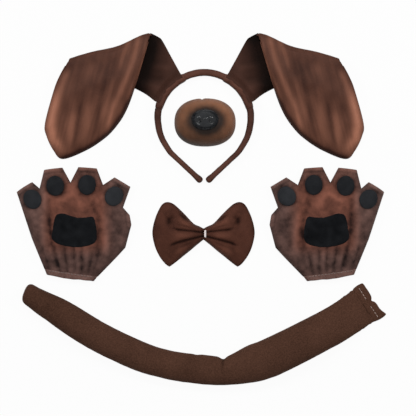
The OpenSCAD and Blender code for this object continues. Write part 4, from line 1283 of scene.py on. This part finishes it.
def dressPaw(side, palm, back, ring, felts):
    body = side + "_paw"
    dress(palm, body, plush, "plush", side + "_palm_panel")
    dress(back, body, plush, "plush", side + "_back_panel")
    dress(ring, body, plush, "plush", side + "_wrist_hem", side + "_wrist_elastic")
    names = ["palm_pad"] + ["toe_pad_" + str(i + 1) for i in range(4)]
    for pad, name, tone in zip(felts, names, (paw["padTone"], *paw["toeTones"])):
        paint(pad, "tone", lambda p: tone + 0.1 * rough(p, 9))
        dress(pad, body, felt, "felt", side + "_" + name)


rightPaw = [mirrorCopy(p, p.name.replace("left", "right"), 0) for p in (palmPanel, backPanel, wristHem)]
rightPads = [mirrorCopy(p, p.name.replace("left", "right"), 0) for p in pads]
dressPaw("left", palmPanel, backPanel, wristHem, pads)
dressPaw("right", *rightPaw, rightPads)
print("gloves made")


# Bow tie: two layers of cloth gathered at the waist by a pale elastic
bow = {
    "middle": Vector((4, -33.2)), "lip": 6.4, "cloth": 1.3, "across": 180, "up": 110, "puff": 11.5,
    "waistRise": 5.0, "lift": 1.4, "gap": 1.7, "bulge": 1.6,
    "frontCut": (0.150, 0.092, 0.0105), "backCut": (0.136, 0.086, 0.0082),
    "upper": [(0, 6.6), (6, 9.6), (13.6, 13.4), (26, 26.4), (38, 37.6), (45.5, 41.4)],
    "outer": [
        (44.4, -42.6), (50, -38.3), (57.4, -28.5), (63.4, -15), (66.4, 2.5), (62.6, 20.5), (56, 35),
        (51, 40.2), (45.5, 41.4),
    ],
    "lower": [(0, -6.6), (9, -13.8), (18, -21.4), (27, -28.6), (36, -36.0), (44.4, -42.6)],
    "pleats": [  # in the right wing, from the waist outward
        (((-8, 0.6), (2, 1.9), (12, 3.4), (23, 4.6), (33, 5.6), (42, 8)), -2.2, 1.7),
        (((-8, -1.4), (2, -3.0), (13, -5.6), (25, -8.6), (35, -11.4), (47, -17)), -2.5, 1.9),
        (((42, 10), (45, 16), (46, 25)), -2.3, 3.6),
        (((36, 20), (44, 22)), -1.0, 2.4),
        (((16, 13), (24, 19), (34, 28)), -2.0, 1.9),
        (((6, 4), (20, 9), (34, 13)), -0.8, 1.6),
        (((8, -8), (20, -13), (34, -20)), -0.7, 1.8),
        (((30, -14), (40, -24), (46, -32)), -0.6, 3.0),
        (((8, -1), (24, -2.4), (42, -3)), 1.2, 3.4),
        (((10, 8), (26, 15), (40, 24)), 1.4, 4.4),
        (((14, -14), (30, -22), (44, -30)), 1.3, 4.6),
    ],
}


def bowFlat(s, t):  # s from wing to wing, t from the lower to the upper edge
    a, tau = abs(s), (t + 1) / 2
    upper, lower = Vector(curvePoint(bow["upper"], a)), Vector(curvePoint(bow["lower"], a))
    corner = Vector(bow["lower"][-1]).lerp(Vector(bow["upper"][-1]), tau)
    return lower.lerp(upper, tau) + (Vector(curvePoint(bow["outer"], tau)) - corner) * a ** bow["bulge"]


def bowFrontRise(p, s, t):
    a, high = abs(s), abs(p.y)
    hemmed = max(0.0, 1 - abs(t) ** 6)
    wing = max(0.0, (a - 0.06) / 0.94)
    swell = bow["puff"] * math.sin(math.pi * wing ** 0.7) * hemmed
    swell += bow["waistRise"] * (1 - a) ** 3 * (1 - abs(t) ** 3)
    swell += 2.2 * bump(p.x, 5) * (1 - smooth((high - 3) / 2))
    pulls = strokes(p, bow["pleats"]) * smooth((1 - a) / 0.16) * hemmed
    ripple = 0.5 * rough((p.x, p.y, 0 if s > 0 else 7), 8) * smooth((1 - a) / 0.1)
    lip = bump(p.x, 3.0) * smooth((high - 4.0) / 1.2) * (1 - 0.4 * smooth((high - 5.8) / 0.8))
    return bow["gap"] + max(0.0, swell + pulls + ripple * hemmed) + bow["lip"] * lip


def bowSkin(s, t, front):
    a = abs(s)
    p = bowFlat(s, t)
    z = bow["lift"] * (1 - smooth(a / 0.2)) + bow["cloth"] / 2
    if front:
        z += bowFrontRise(p, s, t)
    else:
        z += 0.25 * rough((p.x, p.y, 3), 12) * smooth((1 - a) / 0.2) * smooth(a / 0.3) ** 2 - 0.1
        z = max(z, bow["cloth"] / 2 + 0.05)
    x = p.x if s >= 0 else -p.x
    return x + bow["middle"].x, p.y + bow["middle"].y, z


bowRim = [[Vector(p) for p in bow[side]] for side in ("upper", "outer", "lower")]


def bowTone(p):  # painted shade in the pleats' hollows, along the edges and at the waist, painted highlight on the pleats' ridges, and random tone
    q = Vector((abs(p.x - bow["middle"].x), p.y - bow["middle"].y))
    rim = min(edgeDistance(q, a, b) for side in bowRim for a, b in zip(side, side[1:]))
    shade = 0.15 * bump(rim, 2.2) + 0.04 * bump(q.x, 3)
    mottled = 0.05 * rough((p.x, p.y, 2), 14) + 0.04 * rough((p.x, p.y, 5), 5)
    return 0.33 + 0.17 * strokes(q, bow["pleats"]) - shade + mottled


for name, front, cut, stoodFor in (
    ("bowFront", True, bow["frontCut"], "bow_front"), ("bowBack", False, bow["backCut"], "bow_back")
):
    layer = addGrid(name, bow["across"], bow["up"])
    shapeGrid(layer, lambda u, v: bowSkin(u, v, front))
    paint(layer, "tone", bowTone)
    modify(layer, "SOLIDIFY", thickness=bow["cloth"] * mm, offset=0)
    dress(layer, "bow_tie", bowCloth, "bow_cloth", stoodFor)

binding = {
    "wide": 2.5, "thick": 1.0, "high": 12.8, "deep": 11.0, "off": 2.2, "up": 0.7, "rib": 0.06, "ribs": 10,
    "around": 24, "along": 64,
}


def bindingSkin(t, turn):  # a flat loop round the waist
    c, s = squareRound(2 * math.pi * t, 5)
    cc, ss = squareRound(turn, 6)
    out = 1 - binding["thick"] / 2 * (1 - cc) / (binding["high"] / 2)
    x = binding["off"] + ss * binding["wide"] / 2
    y = binding["up"] + c * (binding["deep"] / 2) * out
    rib = binding["rib"] * math.cos(binding["ribs"] * ss)
    z = binding["high"] / 2 + s * (binding["high"] / 2) * out + rib
    return bow["middle"].x + x, bow["middle"].y + y, z


bowBinding = makeTube("bowBinding", binding["around"], binding["along"], bindingSkin)
dress(bowBinding, "bow_tie", paleElastic, "elastic", "bow_binding")
print("bow tie made")


# Tail: a stuffed velour tube, pinched where it bends, with a flat sewn hem
tail = {
    "middle": Vector((-7, -209)), "span": 445, "sag": 98, "tipWide": 28, "midWide": 39.4, "endWide": 50,
    "endFlare": 2, "round": 0.72, "square": 2.25, "hemThick": 6, "hemEase": 0.16, "flatCut": 0.5,
    "around": 56, "along": 420, "tipRound": 0.06, "tipShear": 0.2, "fill": 0.6,
    "creaseAt": 0.621, "creaseLong": 0.0085, "creaseDeep": 4.2, "creaseTop": 3.4,
    "notchAt": 0.554, "notchLong": 0.005, "notchDeep": 1.6, "notchTop": 1.0,
    "route": [
        (-0.5, 1.04), (-0.46, 0.922), (-0.39, 0.74), (-0.3, 0.482), (-0.21, 0.275), (-0.12, 0.12),
        (-0.01, 0.02), (0.1, 0), (0.18, 0.1), (0.25, 0.23), (0.41, 0.6), (0.5, 0.86),
    ],
    "stuffing": {"voxel": 3.0, "pressure": 10.0, "steps": 20, "most": 1.6},  # most that a point moves
}


def tailPoint(f):
    p = curvePoint(tail["route"], f)
    return Vector((p[0] * tail["span"], p[1] * tail["sag"]))


def tailWay(f):
    return (tailPoint(min(f + 0.01, 1)) - tailPoint(max(f - 0.01, 0))).normalized()


def tailWide(f):
    if f < 0.5:
        return mix(tail["tipWide"], tail["midWide"], smooth((f - 0.03) / 0.21))
    flare = tail["endFlare"] * smooth((f - 0.92) / 0.06)
    return mix(tail["midWide"], tail["endWide"], smooth((f - 0.62) / 0.12)) + flare


def tailSkin(t, turn):
    f = 0.002 + 0.998 * t ** 1.08
    cap = math.sqrt(max(0.0, 1 - (1 - min(f / tail["tipRound"], 1)) ** 2.6))
    wide = tailWide(f) * cap
    toHem = smooth((f - 1 + tail["hemEase"]) / tail["hemEase"])
    full = mix(tailWide(f) * tail["round"], tail["hemThick"], toHem)
    high = full * mix(cap, 1, 0.25) * (cap if f < 0.004 else 1)
    c, s = squareRound(-turn, tail["square"])
    fromCrease, fromNotch = f - tail["creaseAt"], f - tail["notchAt"]
    crease = tail["creaseDeep"] * bump(fromCrease, tail["creaseLong"])
    crease += 2.2 * bump(fromCrease, 0.03) + tail["notchDeep"] * bump(fromNotch, tail["notchLong"])
    way = tailWay(f)
    up = Vector((-way.y, way.x))
    lump = 0.5 * rough((f * 430, turn * 9, 0), 21) + 0.25 * rough((f * 430, turn * 9, 5), 7)
    side = (wide / 2 + lump * cap) * c - crease * max(0, c) ** 1.5
    side -= 1.5 * bump(f - 0.49, 0.08) * max(0, c)
    shear = tail["tipShear"] * (1 - smooth(f / 0.12))
    flat = tailPoint(f) + up * side - way * side * shear + tail["middle"]
    z = high / 2 + (high / 2 + lump * 0.6 * cap) * s
    onTop = max(0, s)
    z -= tail["creaseTop"] * bump(fromCrease + 0.006 * (1 - c), 0.006) * smooth((c + 0.1) / 0.9) * onTop
    z -= tail["notchTop"] * bump(fromNotch, 0.004) * smooth((c - 0.3) / 0.5) * onTop
    return flat.x, flat.y, max(z, tail["flatCut"]) - tail["flatCut"]


def tailTone(p):  # painted shade in the crease, a little darker toward the tip, and random tone
    q = Vector(p[:2]) - tail["middle"]
    away = q - tailPoint(tail["creaseAt"])
    dark = bump(away.x + 0.12 * (18 - away.y), 2.0) * smooth((away.y + 6) / 22)
    return 0.40 - 0.1 * smooth((-120 - q.x) / 120) - 0.34 * dark + 0.05 * rough((q.x, q.y, 0), 25)


def tailHeld(p):  # where the cover is sewn or lies on the table
    q = Vector(p[:2]) - tail["middle"]
    crease = tailPoint(tail["creaseAt"])
    hemEnd = smooth((24 - (q - tailPoint(1)).length) / 12)
    tipEnd = smooth((14 - (q - tailPoint(0)).length) / 8)
    pinched = bump((q - crease).dot(tailWay(tail["creaseAt"])), 3.5)
    return max(hemEnd, tipEnd, pinched, 1 - smooth((p.z - 0.4) / 1.6))


tailTube = makeTube("tailTube", tail["around"], tail["along"], tailSkin)
inflate(tailTube, tailHeld, tail["stuffing"])
paint(tailTube, "tone", tailTone)
dress(tailTube, "tail", velour, "velour", "tail_cover", "tail_stuffing")

hemWay, hemFrom = tailWay(1), tailPoint(1) + tail["middle"]
hemSide = Vector((-hemWay.y, hemWay.x))
tailHemSetup = {
    "midZ": 2.75, "half": 2.7, "pinch": 1.5, "middle": (3, 0), "steps": 3, "rings": 16, "tone": 0.42,
}
hemEdge = [(-4, y) for y in range(-25, 26, 5)] + [
    (1, 26.4), (6, 26.4), (11, 25.4), (12, 22.4), (12, 18), (12.2, 13), (12, 9), (11.6, 5), (10.4, 2.4),
    (8.8, 0), (10.4, -2.4), (11.8, -5), (12.2, -9), (12, -13), (12.8, -18), (14.4, -22.4), (14.8, -25.4),
    (10, -26.6), (3, -26.4), (-4, -25),
]


def hemSkin(p, f, side):
    pinch = tailHemSetup["pinch"] * bump(p.y, 4) * smooth((p.x + 2) / 8)
    half = (tailHemSetup["half"] - pinch * 0.6) * math.sqrt(max(0, 1 - f ** 6))
    z = tailHemSetup["midZ"] + side * half + 0.3 * rough((p.x, p.y, 2), 5)
    if side > 0:
        z += 0.4 * smooth((p.x - 4) / 2) - 0.5 * bump(p.x - 3.6, 0.9)
    flat = hemFrom + hemWay * p.x + hemSide * p.y
    return flat.x, flat.y, max(0.05, z)


hemOutline = smoothOutline(hemEdge, tailHemSetup["steps"])
tailHem = makePad("tailHem", hemOutline, Vector(tailHemSetup["middle"]), tailHemSetup["rings"], hemSkin)
paint(tailHem, "tone", lambda p: tailHemSetup["tone"] + 0.06 * rough(p, 6))
dress(tailHem, "tail", velour, "velour", "tail_hem")
print("tail made")


# Stitches: short lengths of thread laid on the hems
thread = {"r": 0.36, "long": 2.9, "over": 0.25, "sunk": 0.2, "around": 6, "steps": 6}


def stitchRow(name, point, count, length):  # point gives millimetres from 0 to 1 along the row
    made = []
    half = thread["long"] / length / 2
    for k in range(count):
        t = (k + 0.5) / count
        route = []
        for j in range(thread["steps"] + 1):
            w = -1 + 2 * j / thread["steps"]
            at = Vector(point(min(1, max(0, t + w * half))))
            route.append(at + Vector((0, 0, thread["over"] * (1 - w * w) - thread["sunk"])))
        made.append(makeCord(name + str(k), route, thread["r"], around=thread["around"]))
    return joinPieces(made, name)


wristSeam = {"half": 29.5, "count": 14, "out": 0.9, "wander": 0.35, "up": 0.35}


def wristRow(t):
    x = mix(-wristSeam["half"], wristSeam["half"], t)
    out = wristSeam["out"] + wristSeam["wander"] * rough((x, 0, 0), 9)
    flat = hemMiddle + hemAcross * x + hemOut * out
    return onPaw(flat, paw["wristDeep"] + wristSeam["up"])


leftRow = stitchRow("leftWristStitches", wristRow, wristSeam["count"], 2 * wristSeam["half"])
rightRow = mirrorCopy(leftRow, "rightWristStitches", 0)
dress(leftRow, "left_paw", dullThread, "plush")
dress(rightRow, "right_paw", dullThread, "plush")

tailSeam = {"near": 5, "far": 23, "count": 4, "out": 3.5, "bow": 0.02, "z": 5.35}


def tailRow(t, low, high):
    y = mix(low, high, t)
    flat = hemFrom + hemWay * (tailSeam["out"] + tailSeam["bow"] * abs(y)) + hemSide * y
    return flat.x, flat.y, tailSeam["z"]


tailRows = [
    stitchRow(name, lambda t: tailRow(t, low, high), tailSeam["count"], high - low)
    for name, low, high in (
        ("tailStitchesUpper", tailSeam["near"], tailSeam["far"]),
        ("tailStitchesLower", -tailSeam["far"], -tailSeam["near"]),
    )
]
dress(joinPieces(tailRows, "tailStitches"), "tail", paleThread, "velour")
print("stitches made")
